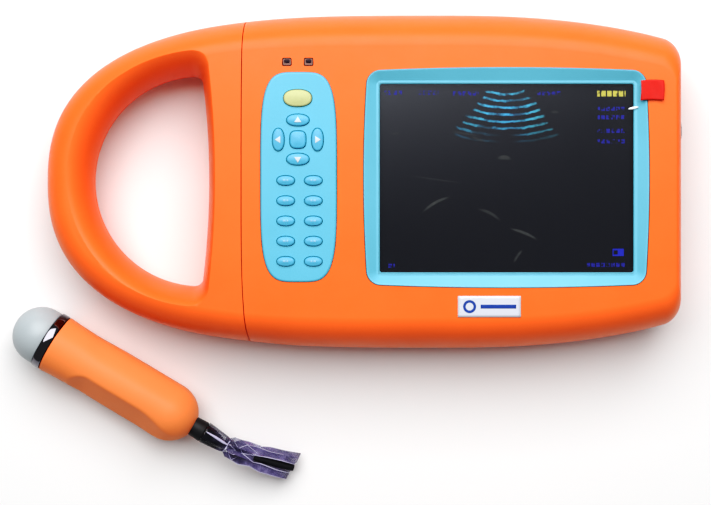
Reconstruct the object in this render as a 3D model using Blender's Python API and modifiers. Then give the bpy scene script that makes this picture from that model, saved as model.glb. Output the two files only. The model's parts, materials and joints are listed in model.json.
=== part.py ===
"""Portable veterinary ultrasound scanner with a hand-held mechanical sector probe.

The scanner lies on its back with the probe beside it. +Z is up, out of the screen, +X runs from the D
handle to the right-hand end, and +Y is the top edge of the screen. The origin is on the flat back, at
the centre of the main casing. Lengths are in metres.
"""

import math

import bmesh
import bpy
from mathutils import Matrix, Vector

# Driving dimensions of the casing
LEFT_END = -0.1981
RIGHT_END = 0.1023
SEAM_X = -0.1042  # the D handle is bolted on here
WIDEST_X = -0.0080
HALF_HEIGHT = 0.0792
THICKNESS = 0.0440
PARTING_Z = 0.0200  # front and rear mouldings meet at this height
LEFT_POWERS = (3.5, 2.4)  # superellipse powers of the handle end, along X and along Y
RIGHT_DROP = 0.0128  # how far the top edge falls towards the right-hand end
RIGHT_DROP_POWER = 2.4
CORNER_RADIUS = 0.0096
FACE_LEFT_INSET = 0.0115  # width of the rounded edge, seen from the front
FACE_SIDE_INSET = 0.0165
FACE_RIGHT_INSET = 0.0060
FACE_POWERS = (3.8, 2.6)
WALL = 0.0025
JOINT_GAP = 0.0004  # visible line between two mouldings
CLEARANCE = 0.0003

# D opening of the handle
HOLE_X = -0.1259
HOLE_RADIUS = 0.0502
HOLE_FLAT_X = -0.1211
HOLE_FLAT_BOW = 0.0028
HOLE_CORNER = 0.0048
HOLE_SLOPE = 0.0095
HOLE_FLAT_SLOPE = 0.0045
GRIP_MID_Z = 0.0220
GRIP_TAPER = 0.36  # share of the thickness lost at the far end of the handle

# Screen
SCREEN_X = 0.0180
SCREEN_Y = 0.0016
BEZEL_HALF_X = 0.0656
BEZEL_HALF_Y = 0.0504
BEZEL_POWER = 9.0
WINDOW_HALF_X = 0.0580
WINDOW_HALF_Y = 0.0433
WINDOW_POWER = 40.0
BEZEL_TOP = THICKNESS + 0.0008
BEZEL_LAND = 0.0415
FLANGE_BOTTOM = 0.0396
FLANGE_TOP = 0.0411
FLANGE_REACH = 0.0022

# Keypad
KEYPAD_X = -0.0780
KEYPAD_Y = 0.0018
KEYPAD_HALF_X = 0.0170
KEYPAD_HALF_Y = 0.0478
KEYPAD_POWER = 4.2
PANEL_TOP = THICKNESS + 0.0006
PANEL_BOTTOM = 0.0424
KEY_TOP = PANEL_TOP + 0.0015
KEY_FLANGE_TOP = PANEL_BOTTOM - 0.00035
KEY_FLANGE_BOTTOM = 0.0408
KEY_FLANGE_REACH = 0.0006

# Battery bay in the back
DOOR_LEFT = 0.0200
DOOR_LENGTH = 0.0680
DOOR_HALF_Y = 0.0280
DOOR_BOTTOM = 0.0002
DOOR_TOP = 0.0024
DOOR_AXIS_X = DOOR_LEFT + 0.0010
DOOR_AXIS_Z = 0.0013

# Right-hand end
SOCKET_Y = 0.0240
PORT_Y = -0.0200
PORT_Z = 0.0210

# Probe: +Z of its own frame runs along its axis towards the dome
PROBE_PLACE = (-0.2001, -0.0760, 0.0145)
PROBE_ANGLE = math.radians(-30.8)
RING_RADIUS = 0.0143
RING_LENGTH = 0.0039
DOME_RADIUS = 0.0136
DOME_SKIRT = 0.0037
DOME_HEIGHT = 0.0134
DOME_WALL = 0.0012
GRIP_LENGTH = 0.0785
GRIP_RADIUS = 0.0139
GRIP_TAIL = 0.0150
GRIP_WALL = 0.0020
BOOT_RADIUS = 0.0045
BOOT_END = -0.0990
CABLE_RADIUS = 0.0019
PIVOT_Z = 0.0020  # the transducer rocks about this point inside the dome

COLOURS = {
    "orange_abs": ((0.91, 0.22, 0.04), 0.42, 0.0),
    "cyan_abs": ((0.13, 0.56, 0.75), 0.40, 0.0),
    "cyan_rubber": ((0.16, 0.60, 0.82), 0.55, 0.0),
    "yellow_rubber": ((0.72, 0.75, 0.30), 0.50, 0.0),
    "clear_acrylic": ((0.80, 0.85, 0.88), 0.05, 0.0),
    "lcd_black": ((0.02, 0.02, 0.03), 0.20, 0.0),
    "red_film": ((0.80, 0.04, 0.03), 0.40, 0.0),
    "white_label": ((0.85, 0.86, 0.90), 0.45, 0.0),
    "lamp_lens": ((0.25, 0.10, 0.07), 0.20, 0.0),
    "circuit_board": ((0.02, 0.20, 0.07), 0.50, 0.0),
    "steel": ((0.60, 0.60, 0.62), 0.30, 1.0),
    "chrome": ((0.85, 0.86, 0.88), 0.06, 1.0),
    "battery_wrap": ((0.05, 0.09, 0.25), 0.45, 0.0),
    "black_plastic": ((0.02, 0.02, 0.02), 0.50, 0.0),
    "black_rubber": ((0.03, 0.03, 0.03), 0.70, 0.0),
    "dome_plastic": ((0.68, 0.72, 0.74), 0.35, 0.0),
    "ceramic_element": ((0.75, 0.70, 0.55), 0.40, 0.0),
    "copper_coil": ((0.70, 0.32, 0.12), 0.35, 1.0),
    "violet_film": ((0.35, 0.30, 0.60), 0.15, 0.0),
}

for old in list(bpy.data.objects):
    bpy.data.objects.remove(old)

SCANNER = bpy.data.collections.new("ultrasound_scanner")
CUTTERS = bpy.data.collections.new("cutters")
bpy.context.scene.collection.children.link(SCANNER)
bpy.context.scene.collection.children.link(CUTTERS)


# ---------------------------------------------------------------- helpers


def material(name):
    """The Principled material of that name, made on first use."""
    found = bpy.data.materials.get(name)
    if found:
        return found
    colour, roughness, metallic = COLOURS[name]
    made = bpy.data.materials.new(name)
    made.use_nodes = True
    shader = made.node_tree.nodes["Principled BSDF"]
    shader.inputs["Base Color"].default_value = (*colour, 1.0)
    shader.inputs["Roughness"].default_value = roughness
    shader.inputs["Metallic"].default_value = metallic
    return made


def make_object(name, bm, finish=None, parent=None):
    """Turns a bmesh into a part, or into a hidden cutter when it has no finish."""
    bmesh.ops.recalc_face_normals(bm, faces=bm.faces)
    mesh = bpy.data.meshes.new(name)
    bm.to_mesh(mesh)
    bm.free()
    mesh.shade_smooth()
    mesh.set_sharp_from_angle(angle=math.radians(35))
    obj = bpy.data.objects.new(name, mesh)
    if finish:
        mesh.materials.append(material(finish))
        SCANNER.objects.link(obj)
    else:
        obj.hide_render = True
        obj.display_type = "WIRE"
        CUTTERS.objects.link(obj)
    obj.parent = parent
    return obj


def boolean(obj, other, operation="DIFFERENCE"):
    modifier = obj.modifiers.new(other.name, "BOOLEAN")
    modifier.operation = operation
    modifier.solver = "EXACT"
    modifier.object = other


def loft(rings, closed=False):
    """A bmesh through rings with equal numbers of points: capped, or closed on itself like a frame."""
    bm = bmesh.new()
    rows = [[bm.verts.new(point) for point in ring] for ring in rings]
    count = len(rows[0])
    pairs = list(zip(rows, rows[1:]))
    if closed:
        pairs.append((rows[-1], rows[0]))
    for low, high in pairs:
        for i in range(count):
            j = (i + 1) % count
            bm.faces.new((low[i], low[j], high[j], high[i]))
    if not closed:
        bm.faces.new(reversed(rows[0]))
        bm.faces.new(rows[-1])
    return bm


def superellipse(half_x, half_y, power, count, centre=(0.0, 0.0)):
    """Counter-clockwise outline points of a rounded rectangle with bowed sides."""
    points = []
    for i in range(count):
        angle = 2 * math.pi * i / count
        c, s = math.cos(angle), math.sin(angle)
        x = math.copysign(abs(c) ** (2 / power), c)
        y = math.copysign(abs(s) ** (2 / power), s)
        points.append((centre[0] + half_x * x, centre[1] + half_y * y))
    return points


def at_height(outline, z):
    return [(x, y, z) for x, y in outline]


def box(low, high):
    """A box between two corners."""
    bm = bmesh.new()
    bmesh.ops.create_cube(bm, size=1.0)
    size = Vector(high) - Vector(low)
    bmesh.ops.scale(bm, vec=size, verts=bm.verts)
    bmesh.ops.translate(bm, vec=Vector(low) + size / 2, verts=bm.verts)
    return bm


def cylinder(radius, low, high, segments=16, place=(0.0, 0.0), axis="Z"):
    """A cylinder from low to high along an axis, at place in the other two coordinates."""
    bm = bmesh.new()
    bmesh.ops.create_cone(
        bm, cap_ends=True, segments=segments, radius1=radius, radius2=radius, depth=high - low
    )
    bmesh.ops.translate(bm, vec=(0, 0, (low + high) / 2), verts=bm.verts)
    if axis == "X":
        bmesh.ops.rotate(bm, matrix=Matrix.Rotation(math.radians(90), 3, "Y"), verts=bm.verts)
        bmesh.ops.translate(bm, vec=(0, *place), verts=bm.verts)
    elif axis == "Y":
        bmesh.ops.rotate(bm, matrix=Matrix.Rotation(math.radians(-90), 3, "X"), verts=bm.verts)
        bmesh.ops.translate(bm, vec=(place[0], 0, place[1]), verts=bm.verts)
    else:
        bmesh.ops.translate(bm, vec=(*place, 0), verts=bm.verts)
    return bm


def merged(*shapes):
    """One bmesh holding several, each still its own body."""
    whole = bmesh.new()
    for shape in shapes:
        mesh = bpy.data.meshes.new("part_of_a_cutter")
        shape.to_mesh(mesh)
        shape.free()
        whole.from_mesh(mesh)
        bpy.data.meshes.remove(mesh)
    return whole


def clip(bm, point, normal):
    """Cuts a closed bmesh with a plane, drops the side the normal points to and closes the cut."""
    everything = bm.verts[:] + bm.edges[:] + bm.faces[:]
    bmesh.ops.bisect_plane(bm, geom=everything, plane_co=point, plane_no=normal, clear_outer=True)
    rim = [edge for edge in bm.edges if edge.is_boundary]
    bmesh.ops.holes_fill(bm, edges=rim)
    return bm


def turned(name, profile, finish, parent, segments=24, closed=True):
    """A shape turned about Z from (radius, z) points that run down its outer side."""
    mesh = bpy.data.meshes.new(name)
    edges = [(i, i + 1) for i in range(len(profile) - 1)]
    if closed:
        edges.append((len(profile) - 1, 0))
    mesh.from_pydata([(r, 0.0, z) for r, z in profile], edges, [])
    mesh.materials.append(material(finish))
    obj = bpy.data.objects.new(name, mesh)
    SCANNER.objects.link(obj)
    obj.parent = parent
    screw = obj.modifiers.new("Turn", "SCREW")
    screw.steps = screw.render_steps = segments
    screw.use_merge_vertices = True
    screw.merge_threshold = 0.00001
    screw.use_smooth_shade = True
    return obj


# ---------------------------------------------------------------- casing shapes


def edge_outline(left, right, half_height, powers, corner, left_steps=13, right_steps=5, corner_steps=4):
    """The casing outline: a superellipse to the left, a falling edge and a round corner to the right."""
    top = [(left, 0.0)]
    for i in range(1, left_steps + 1):
        angle = math.radians(90 * i / left_steps)
        reach = max(math.cos(angle), 0.0) ** (2 / powers[0])
        rise = math.sin(angle) ** (2 / powers[1])
        top.append((WIDEST_X - (WIDEST_X - left) * reach, half_height * rise))
    span = RIGHT_END - WIDEST_X
    run = (right - corner - WIDEST_X) / span
    slope = math.atan(RIGHT_DROP * RIGHT_DROP_POWER * run ** (RIGHT_DROP_POWER - 1) / span)
    start = right - corner * (1 - math.sin(slope))
    for i in range(1, right_steps + 1):
        x = WIDEST_X + (start - WIDEST_X) * i / right_steps
        drop = RIGHT_DROP * ((x - WIDEST_X) / span) ** RIGHT_DROP_POWER
        top.append((x, half_height - drop))
    centre_y = top[-1][1] - corner * math.cos(slope)
    for i in range(1, corner_steps + 1):
        angle = (math.pi / 2 - slope) * (1 - i / corner_steps)
        top.append((right - corner + corner * math.cos(angle), centre_y + corner * math.sin(angle)))
    bottom = [(x, -y) for x, y in reversed(top[1:])]
    return list(reversed(top)) + list(reversed(bottom))


def hole_outline(radius, flat_x, corner, arc_steps=22, corner_steps=3, flat_steps=4):
    """The D opening: a half round to the left, a slightly bowed upright to the right."""
    reach = radius - corner
    lean = math.asin(min(1.0, (flat_x - HOLE_FLAT_BOW - corner - HOLE_X) / reach))
    corner_x = HOLE_X + reach * math.sin(lean)
    corner_y = reach * math.cos(lean)
    top = []
    for i in range(flat_steps):
        y = corner_y * i / flat_steps
        top.append((corner_x + corner + HOLE_FLAT_BOW * (1 - (y / corner_y) ** 2), y))
    for i in range(corner_steps + 1):
        angle = (math.pi / 2 - lean) * i / corner_steps
        top.append((corner_x + corner * math.cos(angle), corner_y + corner * math.sin(angle)))
    for i in range(1, arc_steps // 2 + 1):
        angle = math.pi / 2 - lean + (math.pi / 2 + lean) * i / (arc_steps // 2)
        top.append((HOLE_X + radius * math.cos(angle), radius * math.sin(angle)))
    return top + [(x, -y) for x, y in reversed(top[1:-1])]


def blend_outlines(outer, inner, share):
    return [
        (a[0] + (b[0] - a[0]) * share, a[1] + (b[1] - a[1]) * share) for a, b in zip(outer, inner)
    ]


def rounded_rings(widest, face, low, high, steps):
    """Rings of a quarter-round edge from the widest outline at low to the face outline at high."""
    rings = []
    for i in range(steps + 1):
        angle = math.radians(90 * i / steps)
        share, rise = 1 - math.cos(angle), math.sin(angle)
        rings.append(at_height(blend_outlines(widest, face, share), low + (high - low) * rise))
    return rings


def grip_taper(bm):
    """Thins the handle towards its far end, about its own middle height."""
    for vert in bm.verts:
        u = min(1.0, max(0.0, (SEAM_X - vert.co.x) / (SEAM_X - LEFT_END)))
        vert.co.z += (GRIP_MID_Z - vert.co.z) * GRIP_TAPER * u * u * (3 - 2 * u)


def casing_blank(shrink=0.0):
    """The whole casing as a solid, made smaller all round by shrink."""
    widest = edge_outline(
        LEFT_END + shrink, RIGHT_END - shrink, HALF_HEIGHT - shrink, LEFT_POWERS, CORNER_RADIUS - shrink
    )
    face = edge_outline(
        LEFT_END + FACE_LEFT_INSET + shrink,
        RIGHT_END - FACE_RIGHT_INSET - shrink,
        HALF_HEIGHT - FACE_SIDE_INSET - shrink,
        FACE_POWERS,
        CORNER_RADIUS - shrink,
    )
    front = rounded_rings(widest, face, PARTING_Z, THICKNESS - shrink, 5)
    rear = rounded_rings(widest, face, PARTING_Z, shrink, 4)
    bm = loft(list(reversed(rear)) + front[1:])
    for x in (-0.182, -0.164, -0.146, -0.128, -0.115):
        everything = bm.verts[:] + bm.edges[:] + bm.faces[:]
        bmesh.ops.bisect_plane(bm, geom=everything, plane_co=(x, 0, 0), plane_no=(1, 0, 0))
    bmesh.ops.triangulate(bm, faces=[face for face in bm.faces if len(face.verts) > 4])
    grip_taper(bm)
    return bm


def opening_blank(grow=0.0):
    """The D opening as a solid with flared ends, made larger all round by grow."""
    waist = hole_outline(HOLE_RADIUS + grow, HOLE_FLAT_X + grow, HOLE_CORNER + grow)
    mouth = hole_outline(
        HOLE_RADIUS + HOLE_SLOPE + grow, HOLE_FLAT_X + HOLE_FLAT_SLOPE + grow, HOLE_CORNER + HOLE_SLOPE + grow
    )
    past = 0.0004 - grow
    front = rounded_rings(waist, mouth, PARTING_Z, THICKNESS + past, 4)
    rear = rounded_rings(waist, mouth, PARTING_Z, -past, 4)
    bm = loft(
        [at_height(mouth, -0.010)] + list(reversed(rear)) + front[1:] + [at_height(mouth, THICKNESS + 0.010)]
    )
    grip_taper(bm)
    return bm


UP, DOWN = (0, 0, 1), (0, 0, -1)
FRONT_BOTTOM = PARTING_Z + JOINT_GAP / 2
REAR_TOP = PARTING_Z - JOINT_GAP / 2
BODY_LEFT = SEAM_X + JOINT_GAP / 2
GRIP_RIGHT = SEAM_X - JOINT_GAP / 2

BODY_SCREWS = {
    "upper_left": (-0.0930, 0.0600),
    "lower_left": (-0.0930, -0.0600),
    "upper_right": (0.0905, 0.0560),
    "lower_right": (0.0905, -0.0560),
}
GRIP_SCREWS = {
    "upper": (-0.1517, 0.0540),
    "lower": (-0.1517, -0.0540),
    "end": (-0.1873, 0.0),
}
BOARD_POSTS = [(-0.060, 0.040), (-0.060, -0.040), (0.010, 0.040), (0.010, -0.040)]


def grip_level(z, x):
    """The height that a level of the casing has at x, after the handle's taper."""
    u = min(1.0, max(0.0, (SEAM_X - x) / (SEAM_X - LEFT_END)))
    return z + (GRIP_MID_Z - z) * GRIP_TAPER * u * u * (3 - 2 * u)


def make_casing():
    body_cavity = make_object("cut_body_cavity", clip(casing_blank(WALL), (BODY_LEFT + WALL, 0, 0), (-1, 0, 0)))
    grip_cavity = make_object("cut_grip_cavity", clip(casing_blank(WALL), (GRIP_RIGHT - WALL, 0, 0), (1, 0, 0)))
    boolean(grip_cavity, make_object("cut_opening_wall", opening_blank(WALL)))
    opening = make_object("cut_opening", opening_blank())
    solid_columns = [cylinder(0.0040, -0.010, 0.060, 12, place) for place in BODY_SCREWS.values()]
    solid_columns += [cylinder(0.0028, -0.010, REAR_TOP, 8, place) for place in BOARD_POSTS]
    boolean(body_cavity, make_object("keep_body_columns", merged(*solid_columns)))
    solid_columns = [cylinder(0.0037, -0.010, 0.060, 12, place) for place in GRIP_SCREWS.values()]
    boolean(grip_cavity, make_object("keep_grip_columns", merged(*solid_columns)))

    front = clip(clip(casing_blank(), (0, 0, FRONT_BOTTOM), DOWN), (BODY_LEFT, 0, 0), (-1, 0, 0))
    rear = clip(clip(casing_blank(), (0, 0, REAR_TOP), UP), (BODY_LEFT, 0, 0), (-1, 0, 0))
    grip_front = clip(clip(casing_blank(), (0, 0, FRONT_BOTTOM), DOWN), (GRIP_RIGHT, 0, 0), (1, 0, 0))
    grip_rear = clip(clip(casing_blank(), (0, 0, REAR_TOP), UP), (GRIP_RIGHT, 0, 0), (1, 0, 0))

    front = make_object("front_cover", front, "orange_abs")
    rear = make_object("rear_cover", rear, "orange_abs")
    grip_front = make_object("handle_front_half", grip_front, "orange_abs")
    grip_rear = make_object("handle_rear_half", grip_rear, "orange_abs")
    for shell in (front, rear):
        boolean(shell, body_cavity)
    for shell in (grip_front, grip_rear):
        boolean(shell, opening)
        boolean(shell, grip_cavity)

    cut_screw_holes(front, rear, BODY_SCREWS, 0.0030)
    cut_screw_holes(grip_front, grip_rear, GRIP_SCREWS, 0.0036)
    return front, rear, grip_front, grip_rear


HEAD_RADIUS = 0.0030
HEAD_HEIGHT = 0.0020
HEAD_BOTTOM = 0.0008
SHANK_RADIUS = 0.0014
SHANK_TOP = 0.0300


def cut_screw_holes(front, rear, places, seat_height):
    """Blind holes in the front moulding, and through holes with a seat for each head in the rear one."""
    blind, through, seats = [], [], []
    for x, y in places.values():
        floor = grip_level(0.0, x)
        blind.append(cylinder(SHANK_RADIUS + CLEARANCE, 0.0150, SHANK_TOP + 0.0006, 10, (x, y)))
        through.append(cylinder(SHANK_RADIUS + CLEARANCE, floor - 0.002, 0.0250, 10, (x, y)))
        seats.append(cylinder(HEAD_RADIUS + CLEARANCE, floor - 0.004, floor + seat_height + 0.0003, 12, (x, y)))
    boolean(front, make_object("cut_blind_holes_" + front.name, merged(*blind)))
    boolean(rear, make_object("cut_through_holes_" + rear.name, merged(*through)))
    boolean(rear, make_object("cut_head_seats_" + rear.name, merged(*seats)))


def make_screws():
    sets = (("cover_screw_", BODY_SCREWS, 0.0030), ("handle_screw_", GRIP_SCREWS, 0.0036))
    for prefix, places, seat_height in sets:
        for where, (x, y) in places.items():
            head_top = grip_level(0.0, x) + seat_height
            profile = [
                (0.0, SHANK_TOP),
                (SHANK_RADIUS, SHANK_TOP),
                (SHANK_RADIUS, head_top),
                (HEAD_RADIUS, head_top),
                (HEAD_RADIUS, head_top - HEAD_HEIGHT + 0.0005),
                (HEAD_RADIUS - 0.0006, head_top - HEAD_HEIGHT),
                (0.0010, head_top - HEAD_HEIGHT),
                (0.0, head_top - HEAD_HEIGHT + 0.0010),
            ]
            screw = turned(prefix + where, profile, "steel", None, 12, closed=False)
            screw.location = (x, y, 0)


BOLT_Z = 0.0290
BOLT_Y = 0.0450


def make_handle_bolts(front, grip_front):
    """Two bolts through the end walls hold the handle on the main casing."""
    head_left = BODY_LEFT + WALL + CLEARANCE
    for where, y in (("upper", BOLT_Y), ("lower", -BOLT_Y)):
        shank = cylinder(0.0017, -0.1110, head_left + 0.0005, 12, (y, BOLT_Z), "X")
        bolt = make_object("handle_bolt_" + where, shank, "steel")
        head = make_object("add_bolt_head_" + where, cylinder(0.0034, head_left, head_left + 0.0024, 6, (y, BOLT_Z), "X"))
        boolean(bolt, head, "UNION")
        hole = make_object("cut_bolt_hole_" + where, cylinder(0.00205, -0.1125, -0.0985, 12, (y, BOLT_Z), "X"))
        boolean(front, hole)
        boolean(grip_front, hole)


# ---------------------------------------------------------------- screen


def make_screen(front):
    centre = (SCREEN_X, SCREEN_Y)
    count = 36

    def outer(change, z):
        outline = superellipse(BEZEL_HALF_X + change, BEZEL_HALF_Y + change, BEZEL_POWER, count, centre)
        return at_height(outline, z)

    def window(change, z):
        outline = superellipse(WINDOW_HALF_X + change, WINDOW_HALF_Y + change, WINDOW_POWER, count, centre)
        return at_height(outline, z)

    opening = loft([outer(CLEARANCE, 0.030), outer(CLEARANCE, 0.060)])
    boolean(front, make_object("cut_screen_opening", opening))
    rings = [
        outer(FLANGE_REACH, FLANGE_BOTTOM),
        outer(FLANGE_REACH, FLANGE_TOP),
        outer(0.0, FLANGE_TOP),
        outer(0.0, BEZEL_TOP - 0.0004),
        outer(-0.0005, BEZEL_TOP),
        outer(-0.0014, BEZEL_TOP),
        window(0.0015, BEZEL_LAND + 0.0001),
        window(0.0, BEZEL_LAND),
        window(0.0, BEZEL_LAND - 0.0012),
        outer(-0.0022, BEZEL_LAND - 0.0012),
        outer(-0.0022, FLANGE_BOTTOM),
    ]
    make_object("screen_bezel", loft(rings, closed=True), "cyan_abs")

    def sheet(name, half_x, half_y, low, high, finish, power=WINDOW_POWER):
        outline = superellipse(half_x, half_y, power, 24, centre)
        return make_object(name, loft([at_height(outline, low), at_height(outline, high)]), finish)

    sheet("display_window", 0.0598, 0.0445, 0.0386, 0.0400, "clear_acrylic", 16.0)
    sheet("lcd_panel", 0.0605, 0.0455, 0.0302, 0.0382, "lcd_black")
    bracket = sheet("lcd_bracket", 0.0640, 0.0490, 0.0286, 0.0298, "steel")
    cut = box((SCREEN_X - 0.048, SCREEN_Y - 0.034, 0.025), (SCREEN_X + 0.048, SCREEN_Y + 0.034, 0.035))
    boolean(bracket, make_object("cut_bracket_window", cut))
    film_low = BEZEL_LAND + 0.0001 + CLEARANCE
    film_half_x, film_half_y = WINDOW_HALF_X + 0.0010, WINDOW_HALF_Y + 0.0010
    sheet("screen_film", film_half_x, film_half_y, film_low, film_low + 0.0002, "clear_acrylic")
    tab_low = BEZEL_TOP + CLEARANCE
    tab = box((0.0794, 0.0373, tab_low), (0.0900, 0.0465, tab_low + 0.0003))
    make_object("film_pull_tab", tab, "red_film")


# ---------------------------------------------------------------- keypad


ARROW_REACH = 0.0090
FUNCTION_ROWS = 5
FUNCTION_TOP_Y = 0.0005
FUNCTION_PITCH = 0.0093
FUNCTION_COLUMNS = (-0.0836, -0.0709)
PAD_CENTRE_Y = 0.0193


def key_table():
    """Name, place, half sizes, superellipse power and finish of each key."""
    keys = [
        ("key_power", KEYPAD_X - 0.0001, 0.0384, 0.0068, 0.0042, 2.3, "yellow_rubber"),
        ("key_up", KEYPAD_X, PAD_CENTRE_Y + ARROW_REACH, 0.0055, 0.0030, 2.2, "cyan_rubber"),
        ("key_down", KEYPAD_X, PAD_CENTRE_Y - ARROW_REACH, 0.0055, 0.0030, 2.2, "cyan_rubber"),
        ("key_left", KEYPAD_X - ARROW_REACH, PAD_CENTRE_Y, 0.0030, 0.0055, 2.2, "cyan_rubber"),
        ("key_right", KEYPAD_X + ARROW_REACH, PAD_CENTRE_Y, 0.0030, 0.0055, 2.2, "cyan_rubber"),
        ("key_centre", KEYPAD_X, PAD_CENTRE_Y, 0.0040, 0.0043, 3.2, "cyan_rubber"),
    ]
    for row in range(FUNCTION_ROWS):
        for column, x in enumerate(FUNCTION_COLUMNS):
            name = f"key_function_{2 * row + column + 1:02d}"
            y = FUNCTION_TOP_Y - FUNCTION_PITCH * row
            keys.append((name, x, y, 0.0044, 0.0025, 2.2, "cyan_rubber"))
    return keys


def make_keypad(front):
    centre = (KEYPAD_X, KEYPAD_Y)

    def outline(change, z):
        points = superellipse(KEYPAD_HALF_X + change, KEYPAD_HALF_Y + change, KEYPAD_POWER, 32, centre)
        return at_height(points, z)

    opening = loft([outline(CLEARANCE, 0.030), outline(CLEARANCE, 0.060)])
    boolean(front, make_object("cut_keypad_opening", opening))
    rings = [
        outline(-0.0014, PANEL_BOTTOM),
        outline(-0.0014, FLANGE_BOTTOM),
        outline(FLANGE_REACH, FLANGE_BOTTOM),
        outline(FLANGE_REACH, FLANGE_TOP),
        outline(0.0, FLANGE_TOP),
        outline(0.0, PANEL_TOP - 0.0004),
        outline(-0.0004, PANEL_TOP),
    ]
    panel = make_object("keypad_panel", loft(rings), "cyan_abs")
    holes = []
    for name, x, y, half_x, half_y, power, finish in key_table():

        def ring(change, z):
            return at_height(superellipse(half_x + change, half_y + change, power, 12, (x, y)), z)

        holes.append(loft([ring(0.00035, 0.0350), ring(0.00035, 0.0500)]))
        cap = [
            ring(KEY_FLANGE_REACH, KEY_FLANGE_BOTTOM),
            ring(KEY_FLANGE_REACH, KEY_FLANGE_TOP),
            ring(0.0, KEY_FLANGE_TOP),
            ring(0.0, KEY_TOP - 0.0006),
            ring(-0.0008, KEY_TOP),
        ]
        make_object(name, loft(cap), finish)
    boolean(panel, make_object("cut_key_holes", merged(*holes)))
    board = superellipse(KEYPAD_HALF_X - 0.0018, KEYPAD_HALF_Y - 0.0018, KEYPAD_POWER, 24, centre)
    make_object("keypad_board", loft([at_height(board, 0.0372), at_height(board, 0.0388)]), "circuit_board")


# ---------------------------------------------------------------- small parts on and in the casing


LAMP_Y = 0.0552
LAMP_HALF = 0.0021
LAMPS = {"power_lamp": -0.0831, "charge_lamp": -0.0731}


def make_lamps(front):
    for name, x in LAMPS.items():
        half = LAMP_HALF + CLEARANCE
        hole = box((x - half, LAMP_Y - half, 0.035), (x + half, LAMP_Y + half, 0.050))
        boolean(front, make_object("cut_" + name, hole))
        low = (x - LAMP_HALF, LAMP_Y - LAMP_HALF, 0.0385)
        make_object(name, box(low, (x + LAMP_HALF, LAMP_Y + LAMP_HALF, THICKNESS - 0.0006)), "lamp_lens")


def make_nameplate():
    low = (0.0101 - 0.0145, -0.0624, THICKNESS + CLEARANCE)
    plate = box(low, (0.0101 + 0.0145, -0.0526, THICKNESS + CLEARANCE + 0.0004))
    make_object("nameplate", plate, "white_label")


def make_electronics():
    board = box((-0.084, -0.050, REAR_TOP + CLEARANCE), (0.084, 0.050, REAR_TOP + CLEARANCE + 0.0016))
    make_object("main_board", board, "circuit_board")
    pack = box((DOOR_LEFT + 0.003, -0.0255, 0.0034), (DOOR_LEFT + DOOR_LENGTH - 0.002, 0.0255, 0.0190))
    make_object("battery_pack", pack, "battery_wrap")


def make_battery_door(rear):
    low, high = DOOR_LEFT, DOOR_LEFT + DOOR_LENGTH
    gap = 0.0007
    hole = box((low - gap, -DOOR_HALF_Y - 0.0004, -0.01), (high + 0.0004, DOOR_HALF_Y + 0.0004, 0.01))
    boolean(rear, make_object("cut_battery_bay", hole))
    pin_hole = cylinder(0.0008, -DOOR_HALF_Y - 0.0026, DOOR_HALF_Y + 0.0026, 10, (DOOR_AXIS_X, DOOR_AXIS_Z), "Y")
    boolean(rear, make_object("cut_door_pin_holes", pin_hole))
    door = make_object(
        "battery_door", box((low, -DOOR_HALF_Y, DOOR_BOTTOM), (high, DOOR_HALF_Y, DOOR_TOP)), "orange_abs"
    )
    pin = cylinder(0.0005, -DOOR_HALF_Y - 0.0020, DOOR_HALF_Y + 0.0020, 10, (DOOR_AXIS_X, DOOR_AXIS_Z), "Y")
    boolean(door, make_object("add_door_pins", pin), "UNION")
    recess = cylinder(0.0075, -0.0010, 0.0011, 20, (high - 0.0060, 0.0))
    boolean(door, make_object("cut_door_finger_recess", recess))


SOCKET_LIP = RIGHT_END + 0.0002
SOCKET_FLOOR = SOCKET_LIP - 0.0030
SOCKET_BACK = RIGHT_END - WALL - 0.0036
FLAP_TOP = PORT_Z + 0.0070
JACK_MOUTH = RIGHT_END - 0.0021


def make_end_ports(front, rear):
    """The probe socket, and the charging jack behind its rubber flap, in the right-hand end."""
    socket_hole = cylinder(0.0086, 0.094, 0.115, 20, (SOCKET_Y, PORT_Z), "X")
    pocket = box((RIGHT_END - 0.0018, PORT_Y - 0.0093, PORT_Z - 0.0073), (0.115, PORT_Y + 0.0093, FLAP_TOP + 0.0003))
    jack_hole = cylinder(0.0038, 0.094, 0.115, 12, (PORT_Y, PORT_Z), "X")
    for cutter in (
        make_object("cut_socket_hole", socket_hole),
        make_object("cut_flap_pocket", pocket),
        make_object("cut_jack_hole", jack_hole),
    ):
        boolean(front, cutter)
        boolean(rear, cutter)
    along_x = (0, math.radians(90), 0)
    socket = turned(
        "probe_socket",
        [
            (0.0, SOCKET_FLOOR), (0.0062, SOCKET_FLOOR), (0.0062, SOCKET_LIP), (0.0080, SOCKET_LIP),
            (0.0083, SOCKET_LIP - 0.0003), (0.0083, SOCKET_BACK + 0.002), (0.0100, SOCKET_BACK + 0.002),
            (0.0100, SOCKET_BACK), (0.0, SOCKET_BACK),
        ],
        "chrome", None, 20, closed=False,
    )
    jack = turned(
        "charging_jack",
        [
            (0.0, JACK_MOUTH - 0.002), (0.0011, JACK_MOUTH - 0.002), (0.0011, JACK_MOUTH - 0.008),
            (0.0027, JACK_MOUTH - 0.008), (0.0027, JACK_MOUTH), (0.0034, JACK_MOUTH),
            (0.0034, JACK_MOUTH - 0.010), (0.0, JACK_MOUTH - 0.010),
        ],
        "black_plastic", None, 16, closed=False,
    )
    for obj, y in ((socket, SOCKET_Y), (jack, PORT_Y)):
        obj.rotation_euler = along_x
        obj.location = (0, y, PORT_Z)
    flap = box((RIGHT_END - 0.0014, PORT_Y - 0.0090, PORT_Z - 0.0070), (RIGHT_END, PORT_Y + 0.0090, FLAP_TOP))
    flap = make_object("port_flap", flap, "black_rubber")
    bevel = flap.modifiers.new("Rounded edges", "BEVEL")
    bevel.width = 0.0005
    bevel.segments = 1


# ---------------------------------------------------------------- probe


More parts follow.
